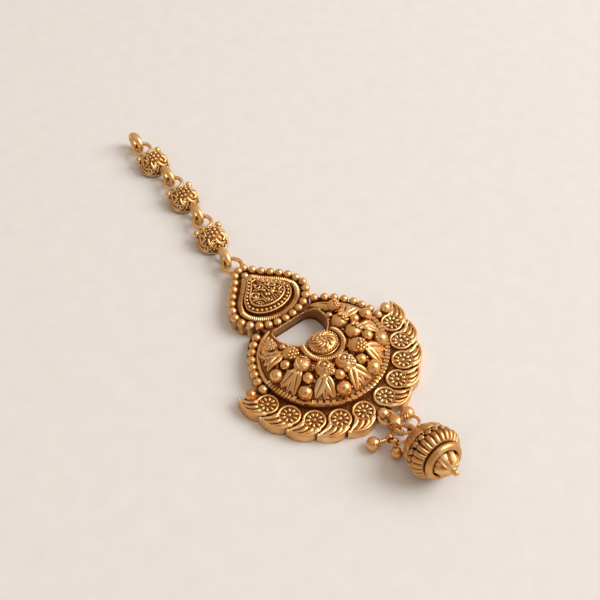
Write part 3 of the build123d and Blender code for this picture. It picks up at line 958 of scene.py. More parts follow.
PAIRS = [((0.1, -8.5), (-1.25, -11.75), (2.65, -11.35)), ((-5.0, -7.2), (-8.15, -8.4), (-5.35, -10.5)),
         ((5.1, -7.0), (9.0, -7.55), (6.2, -10.3)), ((-7.6, -3.0), (-11.45, -2.6), (-10.75, -5.4)),
         ((7.5, -2.5), (11.45, -2.6), (10.85, -4.7)), ((-7.4, 2.1), (-10.3, 4.4), (-11.3, 1.5)),
         ((7.2, 1.9), (10.4, 4.7), (11.3, 1.8))]       # base, and the tips of the two leaves
leaves = []
for base, *tips in PAIRS:
    between = (Vector(tips[0]) + Vector(tips[1])) / 2
    leaves += [leaf(base, between * 1.02, 1.4, 0.0)] + [leaf(base, tip, 1.95, 0.4) for tip in tips]
leaves += [leaf((8.45, 3.9), (4.9, 9.2), 2.6, 0.1, -0.5, 0.45, 0.05),
           leaf((-8.3, 3.1), (-7.0, 8.1), 2.7, 0.1, 0.35, 0.45, 0.05),
           leaf((9.6, 3.2), (8.8, 7.3), 1.5, 0.15, -0.2), leaf((-9.7, 4.0), (-9.2, 6.6), 1.3, 0.1, 0.2)]
finish(leaves, "leaves", antique, "pendant", angle=35)

# %% [markdown]
# ## Granules between them
# Every gap of the relief and of the bed is strewn with granules. A particle system could strew them,
# but places drawn from a seeded list come out the same each time and can be kept off the opening.

# %% Granules between them
SCATTERED = [(7.58, 2.74), (8.33, 1.24), (8.28, -3.8), (9.31, -5), (9.64, -5.4), (5.99, -6.5),
             (4.07, -8.2), (8.9, -7.6), (7.22, 3.31), (5.2, -7.67), (6.65, -6.35), (7.97, -2.34),
             (2.54, -6.4), (1.6, -8.95), (1.97, -5.06), (1.46, -4.64), (1.2, -10.0), (2.0, -7.4),
             (5.3, -4.0), (7.0, -3.7), (8.9, -1.4), (9.4, 0.9), (6.7, 3.0), (6.3, -9.6), (7.6, -7.9),
             (10.3, -4.4), (4.9, 3.6), (5.3, 5.6), (5.4, 7.0)]
GRAIN_COUNT, BED_GRAIN_COUNT = 360, 150
FIELD, OFF_BOSS = 11.2, 4.3   # how far out granules lie on the relief, and how near to the boss
BOSS_Y = -0.7
draws = random.Random(7)
spots = [on_relief(side * x, y, -0.1, draws.uniform(0.24, 0.36))
         for x, y in SCATTERED for side in (-1, 1)]
while len(spots) < GRAIN_COUNT:
    x, y = draws.uniform(-FIELD, FIELD), draws.uniform(-FIELD, 8.6)
    off_opening = math.hypot(x, y - OPENING_Y) > OPENING + 0.35
    if math.hypot(x, y) < FIELD and off_opening and math.hypot(x, y - BOSS_Y) > OFF_BOSS:
        spots.append(on_relief(x, y, -0.14, draws.uniform(0.22, 0.42)))
finish(copies(grain_bead, spots), "scattered_grains", antique, "pendant")
spots = []
while len(spots) < BED_GRAIN_COUNT:
    x, y = polar(draws.uniform(-176, -4), draws.uniform(RIM + 0.5, 14.4))
    spots.append(put(x, y, BED_TOP - 0.02, draws.uniform(0.12, 0.22)))
finish(copies(grain_bead, spots), "bed_grains", sunk_and_shaded, "pendant")

# %% [markdown]
# ## The boss
# In the middle stands a domed boss with a coiled wire laid round its lower side, like a collar. The coil
# could be a real helix of thin wire, but only its outside shows, so it is one thick wire whose radius
# rises and falls with every turn. The dome carries scrolls and granules that lie on its surface.

# %% Boss
BOSS_FOOT = 4.9
BOSS_X_HALF, BOSS_Y_HALF, BOSS_RISE = 3.05, 2.55, 1.5
SCROLL = [(40, 0.27), (27, 0.42), (10, 0.58), (-2, 0.74)]      # turn, and share of the way to the rim
SCROLL_WIDTHS = [0.45, 0.65, 0.8, 0.9, 1, 1, 1, 0.9, 0.6]
COILS, COIL_CIRCLE, COIL_Z, COIL_WIRE = 44, 3.8, 5.15, 0.64
TURN_WIDTHS = 0.8, 0.96, 1, 0.96       # of the coiled wire, round one of its turns


def on_boss(angle, reach, lift):
    """A place on the dome: degrees round it and share of the way to its rim."""
    x, y = polar(angle, reach)
    top = math.sqrt(max(1 - reach * reach, 0.0))
    return x * BOSS_X_HALF, y * BOSS_Y_HALF + BOSS_Y, BOSS_FOOT + BOSS_RISE * top + lift


boss_wall = slab(oval_line(3.5, 2.95, 6, y=BOSS_Y), 3.0, 4.8, edge=0.12)
finish(boss_wall, "boss_wall", sunk_and_shaded, "pendant")

cab = copies(ball, [put(0, BOSS_Y, BOSS_FOOT, (BOSS_X_HALF, BOSS_Y_HALF, BOSS_RISE))])
cab_rim = wire(raised(oval_line(3.12, 2.62, 8, y=BOSS_Y), BOSS_FOOT + 0.12), 0.17, closed=True)
scrolls = []
for k in range(9):
    spots = smooth_path([polar(150 + 270 * k / 8 + turn, reach) for turn, reach in SCROLL], 9)
    path = [on_boss(bearing(p.x, p.y), p.length, 0.04) for p in spots]
    scrolls.append(wire(path, 0.33, widths=SCROLL_WIDTHS))
# rows of granules: share of the way to the rim, first and last bearing, count, size
CAB_ROWS = [(0.89, 0, 348, 28, 0.24), (0.68, 58, 134, 7, 0.31), (0.44, 52, 140, 5, 0.31),
            (0.16, 0, 240, 3, 0.3)]
cab_grains = []
for reach, first, last, count, size in CAB_ROWS:
    cab_grains += [put(*on_boss(blend(first, last, k / (count - 1)), reach, -0.02), size)
                   for k in range(count)]

coil_path, coil_widths = [], []
for i in range(COILS * 4 + 1):
    share = i / (COILS * 4)
    x, y = polar(blend(148, 389, share), COIL_CIRCLE)
    coil_path.append((x, y + BOSS_Y, COIL_Z))
    coil_widths.append(TURN_WIDTHS[i % 4] * min(0.55 + 8 * share, 0.55 + 8 * (1 - share), 1.0))
coil = wire(coil_path, COIL_WIRE, widths=coil_widths, rounds=3)
boss = scrolls + [copies(grain_bead, cab_grains), cab_rim, cab, coil]
finish(boss, "boss", antique, "pendant", angle=45)

# %% [markdown]
# ## The teardrop plaque
# The plaque is a stack: a back plate with a border of beads, a tube milled with fine ribs, a raised step
# with a row of granules, and inside a plain wire the motif. All of them follow one teardrop outline,
# made smaller and smaller. Scaling one outline would change its proportions wrongly, since every layer
# is a little fuller than the last, so one function draws a teardrop from its own measures each time.

# %% Plaque
# half width, and y at the foot, the widest place and the top
LAYERS = {"back": (8.3, 9.4, 15.7, 25.5), "beads": (8.0, 9.8, 15.7, 25.2),
          "tube": (6.12, 11.15, 15.9, 22.35), "step": (5.05, 12.3, 16.0, 21.7),
          "lip": (4.98, 12.4, 16.0, 21.6), "granules": (4.48, 12.95, 16.1, 21.25),
          "motif": (3.75, 13.8, 16.3, 20.7)}


def teardrop(layer, count):
    """Points round a teardrop, clockwise from the right of its top: half an ellipse with two sides."""
    half_width, low, wide, apex = LAYERS[layer]
    rise, flat = apex - wide, 1.1 * half_width / 8
    right = smooth_path([(flat, apex), (0.385 * half_width, wide + 0.73 * rise),
                         (0.83 * half_width, wide + 0.32 * rise), (half_width, wide)], 40)
    bottom = moved([oval(-a, half_width, wide - low) for a in range(3, 180, 3)], 0, wide)
    left = [(-p.x, p.y) for p in right[::-1]]
    return spaced(right + bottom + left, count, closed=True)


back = slab(teardrop("back", 90)[::-1], 0, 2.25, 0.15)
bar = copies(cube, [put(0, 10.3, 1.15, (11.0, 2.6, 2.3))])
finish([bar, back], "plaque_base", sunk_and_shaded, "pendant")

BEAD_Z = 2.6
bead_line = spaced(teardrop("beads", 400)[:-10], 27)
plaque_beads = [stand_bead(p.x, p.y, BEAD_Z, 0.87, 2.1 if p.y < 10.6 else 0) for p in bead_line]
plaque_beads.append(copies(ball, [put(0, 23.3, BEAD_Z, 0.78)]))
finish(plaque_beads, "plaque_beads", antique, "pendant")

RIBS = 96
tube = wire(raised(teardrop("tube", RIBS * 4), 2.55), 0.68, closed=True,
            widths=[0.8, 0.96, 1.02, 0.96] * RIBS, rounds=3)
finish(tube, "milled_tube", antique, "pendant", angle=35)

STEP_TOP = 3.2
motif_line = moved(teardrop("motif", 90), 0.15, 0)
step = slab(teardrop("step", 90)[::-1], 2.0, STEP_TOP, 0.1)
finish([slab(motif_line[::-1], 3.0, 3.36, 0.02), step], "plaque_step", blackened_and_shaded, "pendant")

step_lip = wire(raised(teardrop("lip", 90), STEP_TOP + 0.06), 0.16, closed=True)
granule_row = [put(p.x, p.y, STEP_TOP + 0.12, 0.36) for p in teardrop("granules", 30)]
frame_wire = wire(raised(motif_line, STEP_TOP + 0.28), 0.22, closed=True, rounds=3)
finish([step_lip, copies(grain_bead, granule_row), frame_wire], "plaque_rows", antique, "pendant")

# %% [markdown]
# ## Scrolls of the motif
# Inside the wire lie scrolls, short strokes and petals, crowded together like those on much old
# jewellery. They could be carved out of the plate, but they stand on it like drawn wire: each is a wire
# along a short path, thickest in the middle. They aren't mirrored, since the die was cut by eye. Then
# granules fill every place that is left.

# %% Strokes and petals
MOTIF_Z, MOTIF_FOOT = 3.5, 13.8


def volute(x, y, size, first, last):
    """A curl that opens from its middle, turning from one bearing to another."""
    return moved([polar(blend(first, last, i / 8), size * (0.25 + 0.75 * i / 8)) for i in range(9)], x, y)


MOTIF_STROKES = [(volute(-2.1, 17.45, 0.85, 400, -40), 0.19), (volute(-0.3, 19.1, 0.75, 0, 400), 0.19),
                 ([(0.5, 20.2), (0.75, 19.1), (0.93, 17.3)], 0.22),
                 (volute(1.6, 18.6, 0.6, 60, 420), 0.19), (volute(2.6, 17.75, 0.75, 500, 60), 0.19),
                 ([(-1.6, 18.6), (-1.1, 18.45), (-0.85, 18.1)], 0.19),
                 ([(1.1, 19.9), (1.35, 19.4), (1.9, 19.2)], 0.17),
                 ([(-3.2, 16.55), (-2.3, 16.35), (-1.3, 15.7), (-1.25, 14.7)], 0.21),
                 ([(-2.95, 15.85), (-2.3, 15.7), (-1.95, 15.35), (-1.85, 14.75)], 0.18),
                 ([(2.5, 15.75), (2.85, 15.95), (3.6, 16.1)], 0.17),
                 ([(-0.55, 17.2), (-0.85, 16.3), (-0.7, 14.5)], 0.2),
                 ([(0.42, 15.4), (0.2, 14.8), (0.05, 14.2)], 0.18),
                 ([(0.85, 15.4), (0.75, 14.8), (0.65, 14.2)], 0.18),
                 ([(1.3, 15.4), (1.28, 14.9), (1.25, 14.3)], 0.18),
                 ([(1.75, 15.2), (1.85, 14.8), (1.9, 14.4)], 0.17),
                 ([(-2.7, 16.95), (-2.2, 16.75), (-1.6, 16.7)], 0.17)]
MOTIF_PETALS = [(1.34, 16.3, 0, 0.62, 0.52), (0.0, 16.45, 60, 0.5, 0.32), (0.42, 16.15, 60, 0.5, 0.3),
                (0.08, 17.65, -54, 0.66, 0.36), (2.3, 15.2, -60, 0.55, 0.36),
                (-0.45, 15.2, 100, 0.5, 0.32), (2.6, 17.3, 0, 0.4, 0.4), (0.85, 16.9, 0, 0.28, 0.28),
                (2.1, 16.6, 30, 0.45, 0.3), (-1.2, 17.2, 40, 0.36, 0.28)]

# %% Motif laid out
strokes = [(smooth_path(spots, 26), thick) for spots, thick in MOTIF_STROKES]
motif = [tapered(raised(path, MOTIF_Z), thick, 0.6, rounds=3) for path, thick in strokes]
drops = [put(x, y, MOTIF_Z - 0.04, (long, wide, 0.36), turn) for x, y, turn, long, wide in MOTIF_PETALS]
keep_off = [(p.x, p.y, 0.36) for path, _ in strokes for p in path]
keep_off += [(x, y, 0.6) for x, y, *_ in MOTIF_PETALS] + [(x, y, 0.42) for x, y in motif_line]
for row in range(20):         # granules in rows, each row shifted by half a step
    for k in range(20):
        x, y = -4 + 0.47 * k + 0.23 * (row % 2), MOTIF_FOOT + 0.4 * row
        inside = abs(x) < 3.7 * min(1, (21.5 - y) / 4.6) and y > MOTIF_FOOT + 0.1 * x * x
        if inside and all(math.hypot(x - far_x, y - far_y) > near for far_x, far_y, near in keep_off):
            drops.append(put(x, y, MOTIF_Z - 0.06, 0.22))
finish(motif + [copies(drop, drops)], "motif", antique, "pendant")

# %% [markdown]
# ## Loops of the pendant
# The plaque ends in a flat ring for the chain, and the crescent in a small ring for the bell. A wire
# ring could be spun from a small circle, but it is a torus in Blender already, which only needs enough
# steps to look round in close view.

# %% Loops
def span(name):
    """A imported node's lowest and highest corners, in mm."""
    low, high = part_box(name)
    return Vector(low) / MM, Vector(high) / MM


TOP_LOOP, TOP_WIRE = 1.9, 0.43
FOOT_LOOP, FOOT_WIRE = 1.47, 0.36
low, high = span("pendant")
top_loop = ring(TOP_LOOP, TOP_WIRE, put(0, high.y - TOP_LOOP - TOP_WIRE, 2.1))
foot_loop = ring(FOOT_LOOP, FOOT_WIRE, put(0, low.y + FOOT_LOOP + FOOT_WIRE, 1.4))
finish([top_loop, foot_loop], "pendant_loops", polished, "pendant")

# %% [markdown]
# ## The chain
# Each link is a domed cap between two rings: an upright one at its lower end and a flat one at its
# upper end, with a ball on each shoulder. The links could be laid out by typing in their places, but
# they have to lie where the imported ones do. So the middle of a packed link's two ends is measured,
# which gives its place and direction.

# %% Where the links lie
END = 1.5                     # how much of a packed link counts as its end


def ends_of(name):
    """The lowest and the highest end of a packed link along its own direction, in mm."""
    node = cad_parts[name]
    spots = [node.matrix_world @ vertex.co / MM for vertex in node.data.vertices]
    way = Vector((0, 1, 0))
    for _ in range(4):            # the direction gets better with every round
        first, last = min(p.dot(way) for p in spots), max(p.dot(way) for p in spots)
        tips = [[p for p in spots if p.dot(way) < first + END],
                [p for p in spots if p.dot(way) > last - END]]
        means = [sum(tip, Vector()) / len(tip) for tip in tips]
        way = Vector((means[1].x - means[0].x, means[1].y - means[0].y, 0)).normalized()
        side = Vector((-way.y, way.x, 0))
        across = [(max(p.dot(side) for p in tip) + min(p.dot(side) for p in tip)) / 2 for tip in tips]
        ends = [side * across[0] + way * first, side * across[1] + way * last]
        way = (ends[1] - ends[0]).normalized()
    return ends


UPRIGHT, UPRIGHT_WIRE, STRETCHED = 1.6, 0.5, 1.25
FLAT_RING, FLAT_WIRE = 1.85, 0.43
links = {}                    # place of the upright ring's centre, direction, length to the flat ring
for name in ("chain_link_1", "chain_link_2", "chain_link_3"):
    lower, upper = ends_of(name)
    way = (upper - lower).normalized()
    lower = lower + way * STRETCHED * (UPRIGHT + UPRIGHT_WIRE)
    upper = upper - way * (FLAT_RING + FLAT_WIRE)
    links[name] = (lower, bearing(way.x, way.y) - 90, (upper - lower).length)
    print(name, "from", short(lower), "length", round(links[name][2], 2))

# %% [markdown]
# ## The cap of a link
# The cap is a dome on a plain wall, as if stamped from sheet. Its ground is coloured darker, with grime and
# painted shade, than what lies on it: tapered strokes, small rings and granules, crowded together. Ornament
# drawn on a flat plan and dropped on the dome would be squashed down its sides. Here a place is given by how
# far it lies along the dome from its top, so every stroke keeps its length. The cap is modelled once and
# copied to the three links.

# %% Cap ground
CAP_X, CAP_Y, CAP_BASE, CAP_RISE = 3.08, 3.02, 0.6, 3.5
CAP_ARC = 4.4                 # from the top of the dome down to its rim, along the dome


def on_cap(x, y, lift=0.0):
    """A place on the dome. x and y say how far along the dome it lies from the top, in mm."""
    reach = max(math.hypot(x, y), 0.001)
    slope = min(reach / CAP_ARC, 1) * math.pi / 2
    out, up = math.sin(slope), math.cos(slope)
    return ((CAP_X + lift) * out * x / reach, (CAP_Y + lift) * out * y / reach,
            CAP_BASE + (CAP_RISE + lift) * up ** 0.85)


def cap_ground(u, v):
    if v < 0.02:
        return *oval(360 * u, CAP_X - 0.1, CAP_Y - 0.1), 0.4
    return on_cap(*polar(360 * u, CAP_ARC * (1 - v)), -0.06)


cap_wall = slab(oval_line(CAP_X + 0.02, CAP_Y + 0.02, 6), 0.3, CAP_BASE + 0.1, edge=0.12)
ground = join([sheet(48, 16, cap_ground), cap_wall])
print("cap ground:", len(ground.data.polygons), "faces")

# %% Cap ornament
CAP_STROKES = [([(1.5, 1.1), (2.2, 1.3), (2.9, 0.75), (3.25, -0.2), (3.35, -1.3), (3.0, -2.1)], 0.24),
               ([(1.3, 0.75), (1.6, 0.25), (1.66, -0.4)], 0.24),
               ([(2.1, 0.75), (2.55, 0.2), (2.5, -0.3)], 0.2),
               ([(1.42, -0.85), (1.95, -1.1), (2.25, -1.7), (1.6, -2.3)], 0.33),
               ([(0.62, -1.45), (0.9, -1.75), (1.31, -2.3)], 0.24),
               ([(0.02, -1.85), (0.22, -2.45), (0.75, -2.85), (1.4, -2.9), (2.1, -2.6)], 0.33),
               ([(2.9, -1.1), (2.75, -1.5)], 0.24), ([(-1.72, -0.95), (-2.2, -1.0), (-2.72, -1.16)], 0.3),
               ([(-1.05, 1.0), (-1.35, 0.0), (-1.5, -0.6)], 0.2),
               ([(-2.1, 0.5), (-1.85, -0.3), (-1.95, -0.65)], 0.22),
               ([(-1.25, -1.3), (-1.5, -1.9), (-1.4, -2.5), (-1.1, -3.2)], 0.27),
               ([(-1.08, -1.95), (-1.0, -2.4), (-0.85, -2.9)], 0.24), ([(0.44, -3.2), (0.3, -3.5)], 0.25),
               ([(1.6, -3.15), (1.2, -3.5)], 0.24), ([(-0.3, -2.9), (-0.75, -3.35), (-1.1, -3.7)], 0.24),
               ([(-2.3, 0.75), (-2.75, 0.0), (-3.05, -0.8), (-2.95, -1.5), (-2.4, -1.85),
                 (-2.0, -1.5)], 0.24),
               ([(-3.2, 0.9), (-3.65, -0.3), (-3.7, -1.4), (-3.2, -2.6), (-2.4, -3.3)], 0.24),
               ([(-0.4, 2.3), (-1.0, 2.0), (-1.9, 1.7), (-2.7, 1.3)], 0.2),
               ([(2.6, 2.1), (3.3, 1.3), (3.75, 0.3)], 0.22),
               ([(-2.0, 3.2), (-2.8, 2.5), (-3.3, 1.7)], 0.22)]
CAP_RINGS = [(-1.5, 1.35, 0.34), (-2.65, -2.45, 0.42), (-1.95, -2.85, 0.36), (2.0, -0.35, 0.38),
             (2.9, -0.6, 0.3), (-2.4, 0.95, 0.3), (1.95, 2.5, 0.34), (-0.35, -2.35, 0.34)]
CAP_GRAINS = [(-0.16, 1.41, 0.33), (0.84, 1.94, 0.34), (-0.22, 0.45, 0.3), (0.65, 0.12, 0.36),
              (-0.1, -0.42, 0.38), (0.69, -0.77, 0.4), (-0.82, -1.08, 0.34), (-0.12, -1.2, 0.38),
              (-0.71, -1.98, 0.3), (0.95, 1.05, 0.33), (-0.35, 2.2, 0.3), (0.6, 2.7, 0.3),
              (-0.85, -0.25, 0.28), (-0.85, 0.62, 0.26), (0.3, 1.1, 0.26), (1.45, 1.75, 0.28),
              (1.35, 2.9, 0.26), (-1.2, 2.7, 0.26), (3.6, -0.9, 0.24), (3.4, -2.2, 0.24),
              (2.5, -3.2, 0.24), (-3.6, -2.3, 0.22), (-1.75, -3.75, 0.24), (0.1, -4.0, 0.24),
              (2.45, -1.0, 0.24)]
ornament = [tapered([on_cap(p.x, p.y) for p in smooth_path(spots, 16)], 1.12 * thick, 0.7)
            for spots, thick in CAP_STROKES]
ornament += [wire([on_cap(*spot) for spot in oval_line(size, size, 36, x, y)], 0.15, closed=True)
             for x, y, size in CAP_RINGS]
ornament.append(copies(grain_bead, [put(*on_cap(x, y, -0.02), size) for x, y, size in CAP_GRAINS]))
lip = wire(raised(oval_line(CAP_X + 0.02, CAP_Y + 0.02, 9), CAP_BASE + 0.05), 0.2, closed=True)
ornament = join(ornament + [lip])
print("cap ornament:", len(ornament.data.polygons), "faces")

# %% [markdown]
# ## The rings of a link
# The upright ring is no round wire: it was hammered into a band that is widest at its top. A torus
# can't change its width on the way round, so the band is a sheet rolled into a ring. The thick ring at
# the free end of the chain is made the same way.

# %% Rings
def band_ring(round_by, width, thick, swell, matrix):
    """An upright ring in the YZ plane, as a hammered band that is widest at its top."""
    def place(u, v):
        half = width * (1 + swell * max(math.sin(2 * math.pi * u), 0) ** 2)
        x, out = oval(360 * v, half, thick)
        return x, *polar(360 * u, round_by + out)

    piece = sheet(56, 16, place)
    piece.data.transform(matrix)
    return piece


BALL_SEATS, SHOULDER_BALL = [(-2.5, 2.2), (2.5, 2.65)], 0.78      # from the middle of the cap
STEM, STEM_Z, FLAT_Z = 0.9, 1.6, 2.1
stretch_up = put(0, 0, UPRIGHT + UPRIGHT_WIRE, (1, STRETCHED, 1))
upright_ring = band_ring(UPRIGHT, 0.56, UPRIGHT_WIRE, 0.32, stretch_up)
shoulder_balls = copies(ball, [put(x, y, 2.15, SHOULDER_BALL) for x, y in BALL_SEATS])
for name, (lower, turn, length) in links.items():
    home = put(lower.x, lower.y, turn=turn)
    cap_y = length - FLAT_RING - FLAT_WIRE + 0.35 - CAP_Y
    cap_place = home @ put(0, cap_y)
    finish(copies(ground, [cap_place]), f"{name}_dome", sunk_and_shaded, name, angle=50)
    finish(copies(ornament, [cap_place]), f"{name}_ornament", chain_gold, name, angle=50)
    stem_low, stem_high = UPRIGHT * STRETCHED, cap_y - CAP_Y + 0.3
    stem_size = (STEM, stem_high - stem_low, STEM)
    stem = copies(cube, [put(0, (stem_low + stem_high) / 2, STEM_Z, stem_size)])
    flat_ring = ring(FLAT_RING, FLAT_WIRE, put(0, length, FLAT_Z))
    rings = [copies(upright_ring), bevelled(stem, 0.2, 2), flat_ring, copies(shoulder_balls, [put(0, cap_y)])]
    finish(copies(join(rings), [home]), f"{name}_rings", chain_gold, name, slot="polished_gold")

low, high = span("end_ring")
end_ring = band_ring(1.7, 0.6, 0.58, 0.6, put(*(low + high) / 2, (1, 1.15, 1)))
finish(end_ring, "end_ring_wire", chain_gold, "end_ring", slot="polished_gold")

# %% [markdown]
# ## Bail and jump rings
# Under the pendant hangs a small upright ring whose upper half is hammered into a polished lens, and two
# jump rings join it to the bell. The bail could be a torus with its top scaled wider, but a rolled sheet
# whose width swells where the lens is stays smooth. How each jump ring leans is worked out from its
# packed box: the flatter the box, the flatter the ring. Each has a few turns of fine wire round it.

# %% Bail and jump rings
BAIL, BAIL_WIRE, LENS_HALF = 1.6, 0.3, 1.0
JUMP, JUMP_WIRE = 2.2, 0.3
PACKED_WIRE = 0.27            # of the same rings in the frame
low, high = span("bail")
bail_middle = (low + high) / 2


def bail_place(u, v):
    from_top = abs((360 * u - 90 + 180) % 360 - 180) / 47
    half = max(BAIL_WIRE, LENS_HALF * (1 - from_top ** 2)) if from_top < 1 else BAIL_WIRE
    x, out = oval(360 * v, half, blend(0.25, BAIL_WIRE, min(from_top, 1)))
    y, z = polar(360 * u, BAIL + out)
    return bail_middle.x + x, bail_middle.y + y, bail_middle.z + z


finish(sheet(64, 16, bail_place), "bail_lens", polished, "bail")

jump_planes = {}
for name in ("jump_ring_left", "jump_ring_right"):
    low, high = span(name)
    middle, half = (low + high) / 2, (high - low) / 2
    lean = Vector([math.sqrt(max(1 - ((h - PACKED_WIRE) / JUMP) ** 2, 0)) for h in half]).normalized()
    tips = [Vector(v.co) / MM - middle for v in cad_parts[name].data.vertices]
    leans = [Vector((sx * lean.x, sy * lean.y, lean.z)) for sx in (1, -1) for sy in (1, -1)]
    normal = min(leans, key=lambda way: max(abs(p.dot(way)) for p in tips))
    jump_planes[name] = (middle, normal)
    print(name, "middle", short(middle), "normal", short(normal))

for name, (middle, normal) in jump_planes.items():
    towards = sum((other - middle for other, _ in jump_planes.values()), Vector())
    towards = (towards - normal * towards.dot(normal)).normalized()
    made = [ring(JUMP, JUMP_WIRE, facing(middle, normal))]
    for k in range(7):            # turns of wire where it runs over or under the other ring
        spot = Matrix.Rotation(math.radians(7 * (k - 3)), 3, normal) @ towards
        made.append(ring(JUMP_WIRE + 0.1, 0.15, facing(middle + spot * JUMP, normal.cross(spot)), 20, 8))
    finish(made, f"{name}_wire", polished, name)

# %% [markdown]
# ## Ball drops
# Three balls lie where they fell, each on a short wire that is wrapped with a finer one and ends in a
# double eye round a jump ring. The ball's place is read from its packed box. The wire could be given a
# direction by hand, but drawn to the nearest place of its ring it is sure to meet it.

# %% Ball drops
# the ring that holds it, the ball's radius, and whether the ball is at its box's high end in x and y
DROPS = {"ball_drop_left": ("jump_ring_left", 1.32, False, True),
         "ball_drop_right": ("jump_ring_right", 1.32, True, True),
         "ball_drop_low": ("jump_ring_left", 1.15, False, False)}
EYE, EYE_WIRE, STEM_WIRE = 0.62, 0.19, 0.2
for name, (held_by, radius, high_x, high_y) in DROPS.items():
    low, high = span(name)
    centre = Vector((high.x - radius if high_x else low.x + radius,
                     high.y - radius if high_y else low.y + radius, low.z + radius))
    middle, normal = jump_planes[held_by]
    outward = centre - middle - normal * (centre - middle).dot(normal)
    eye = middle + outward.normalized() * JUMP
    way = (eye - centre).normalized()
    tangent = normal.cross(outward).normalized()
    made = [ring(EYE, EYE_WIRE, along(eye + tangent * side, way, tangent), 28, 10) for side in (-0.2, 0.2)]
    stem_end = (eye - centre).length - 0.6
    made += [ring(0.31, 0.14, facing(centre + way * (stem_end - 0.1 - 0.25 * k), way), 20, 8)
             for k in range(6) if stem_end - 0.25 * k > radius - 0.1]
    made += [wire([centre, centre + way * stem_end], STEM_WIRE), copies(ball, [facing(centre, way, radius)])]
    finish(made, f"{name}_ball", polished, name)
    print(name, "ball at", short(centre))

# %% [markdown]
# ## The bell
# The bell lies on its side with its tip a little off the table. Its body is gadrooned: rounded flutes
# side by side, narrow towards the collar. A lathe can't give flutes, so the wall is a sheet rolled round
# the axis whose radius swells and sinks with the angle. The cap has broad lobes made the same way, and
# between them run a row of beads and a row of granules. The collar is turned, with a deep recess, and in
# it sits a tip that is notched like a star. All of it is built upright and then laid down.

# %% Outlines of the bell
BELL_TURN, BELL_TILT = math.radians(-6), math.radians(13)
FLUTES, FLUTE_DEPTH, LOBES, LOBE_DEPTH, NOTCHES, BEADS = 26, 0.5, 11, 0.6, 6, 19
BODY = smooth_path([(-0.42, 3.8), (-0.4, 4.6), (-0.15, 4.95), (0.3, 5.01), (0.9, 4.76), (1.42, 4.25),
                    (1.66, 3.85), (1.68, 3.2)], 22)                    # height along the axis, radius
CAP = smooth_path([(-4.9, 0.0), (-4.88, 1.3), (-4.5, 2.75), (-3.75, 3.75), (-2.75, 4.36), (-2.05, 4.5),
                   (-1.75, 4.3), (-1.7, 3.0)], 26)
TIP = smooth_path([(2.3, 2.55), (2.9, 2.35), (3.4, 2.1), (4.2, 1.45), (4.8, 0.75), (5.15, 0.3),
                   (5.3, 0)], 24)
COLLAR = [(0, 1.5), (3.2, 1.85), (3.52, 1.95), (3.74, 2.15), (3.76, 2.4), (3.66, 2.68), (3.38, 2.93),
          (3.0, 3.05), (2.74, 2.98), (2.58, 2.72), (2.5, 2.0), (0, 1.9)]          # radius, height
NECK = [(0, -2.0), (3.75, -2.0), (3.9, -1.3), (3.9, -0.3), (0, -0.3)]
TIP_BALL, TIP_BALL_AT = 0.6, 5.55


def wave(u, count):
    """How far a place lies from the middle of its flute, from -1 to 1."""
    return 2 * ((u * count) % 1) - 1


def body_place(u, v):
    spot = at_share(BODY, v)
    flute = max(1 - (abs(wave(u, FLUTES)) / 0.84) ** 3, 0) ** 0.6
    depth = FLUTE_DEPTH * min(max((1.95 - spot.x) / 0.7, 0.3), 1)
    return *polar(360 * u, spot.y - depth * (1 - flute)), spot.x


def cap_shell(u, v):
    spot = at_share(CAP, v)
    lobe = math.sqrt(1 - 0.85 * wave(u, LOBES) ** 2)
    share = held((spot.x + 4.7) / 1.2) * min(max(spot.y - 3.0, 0) / 0.4 + 0.2, 1)
    return *polar(360 * u, spot.y - LOBE_DEPTH * share * (1 - lobe)), spot.x


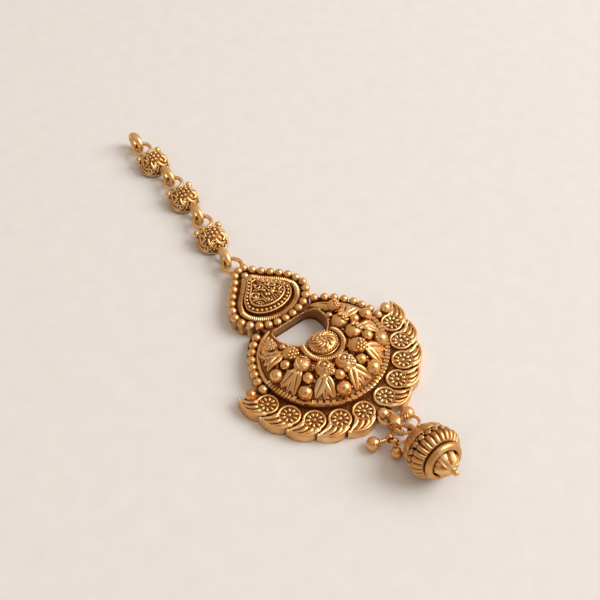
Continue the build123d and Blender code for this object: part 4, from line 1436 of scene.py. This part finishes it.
def tip_place(u, v):
    spot = at_share(TIP, v)
    out = min(spot.y / 2.35, 1)
    width = 0.5 * max(out - 0.4, 0) / 0.6               # the notch gets wider towards the rim
    cut = min(width * 4, 1)
    edge = (abs(wave(u, NOTCHES)) - width) / 0.24
    share = held(0.5 - edge)
    notch = (3 - 2 * share) * share ** 2 * cut
    lip = 0.2 * math.exp(-((edge - 0.8) / 0.8) ** 2) * cut
    return *polar(360 * u, spot.y * (1.0 - 0.05 * notch)), spot.x + 0.35 * out - 0.75 * notch + lip


def bell_row(radius, height, size, shift):
    """Places all round the bell."""
    return [put(*polar(360 * i / BEADS + shift, radius), height, size) for i in range(BEADS)]


print(FLUTES, "flutes,", LOBES, "lobes and", NOTCHES, "notches")

# %% Bell laid down
low, high = span("bell_drop")
bell_axis = Vector((math.sin(BELL_TURN) * math.cos(BELL_TILT), -math.cos(BELL_TURN) * math.cos(BELL_TILT),
                    math.sin(BELL_TILT)))
bell_middle = Vector(((low.x + high.x) / 2, low.y + TIP_BALL - TIP_BALL_AT * bell_axis.y, high.z / 2))
bell_x = Vector((0, 0, 1)).cross(bell_axis).normalized()
lay_down = along(bell_middle, bell_x, bell_axis)
print("bell at", short(bell_middle), "axis", short(bell_axis))

rows = [copies(grain_bead, bell_row(4.18, -1.5, 0.35, 9.5)), copies(ball, bell_row(4.26, -0.98, 0.59, 0))]
bell_eye = ring(1.2, 0.32, put(0, 0, -6.0) @ Matrix.Rotation(math.pi / 2, 4, "Y"), 36, 12)
tip_parts = [copies(ball, [put(0, 0, TIP_BALL_AT, TIP_BALL)]), ring(0.5, 0.16, put(0, 0, 5.1), 24, 8),
             sheet(NOTCHES * 24, len(TIP) - 1, tip_place)]
for name, material, angle, parts in [
        ("bell_cap", bell_gold, 50, rows + [turned(NECK, 48),
                                            sheet(LOBES * 14, len(CAP) - 1, cap_shell)]),
        ("bell_body", bell_gold, 60, [sheet(FLUTES * 10, len(BODY) - 1, body_place)]),
        ("bell_collar", bell_gold, 45, [bell_eye, turned(COLLAR, 72)]),
        ("bell_tip", antique, 45, tip_parts)]:
    finish(copies(join(parts), [lay_down]), name, material, "bell_drop", angle=angle)

# %% [markdown]
# ## Clear up
# The master pieces have done their work and are removed. They could be hidden instead, but a hidden
# piece still weighs down the file.

# %% Clear up
for master in set(masters):
    bpy.data.objects.remove(master)
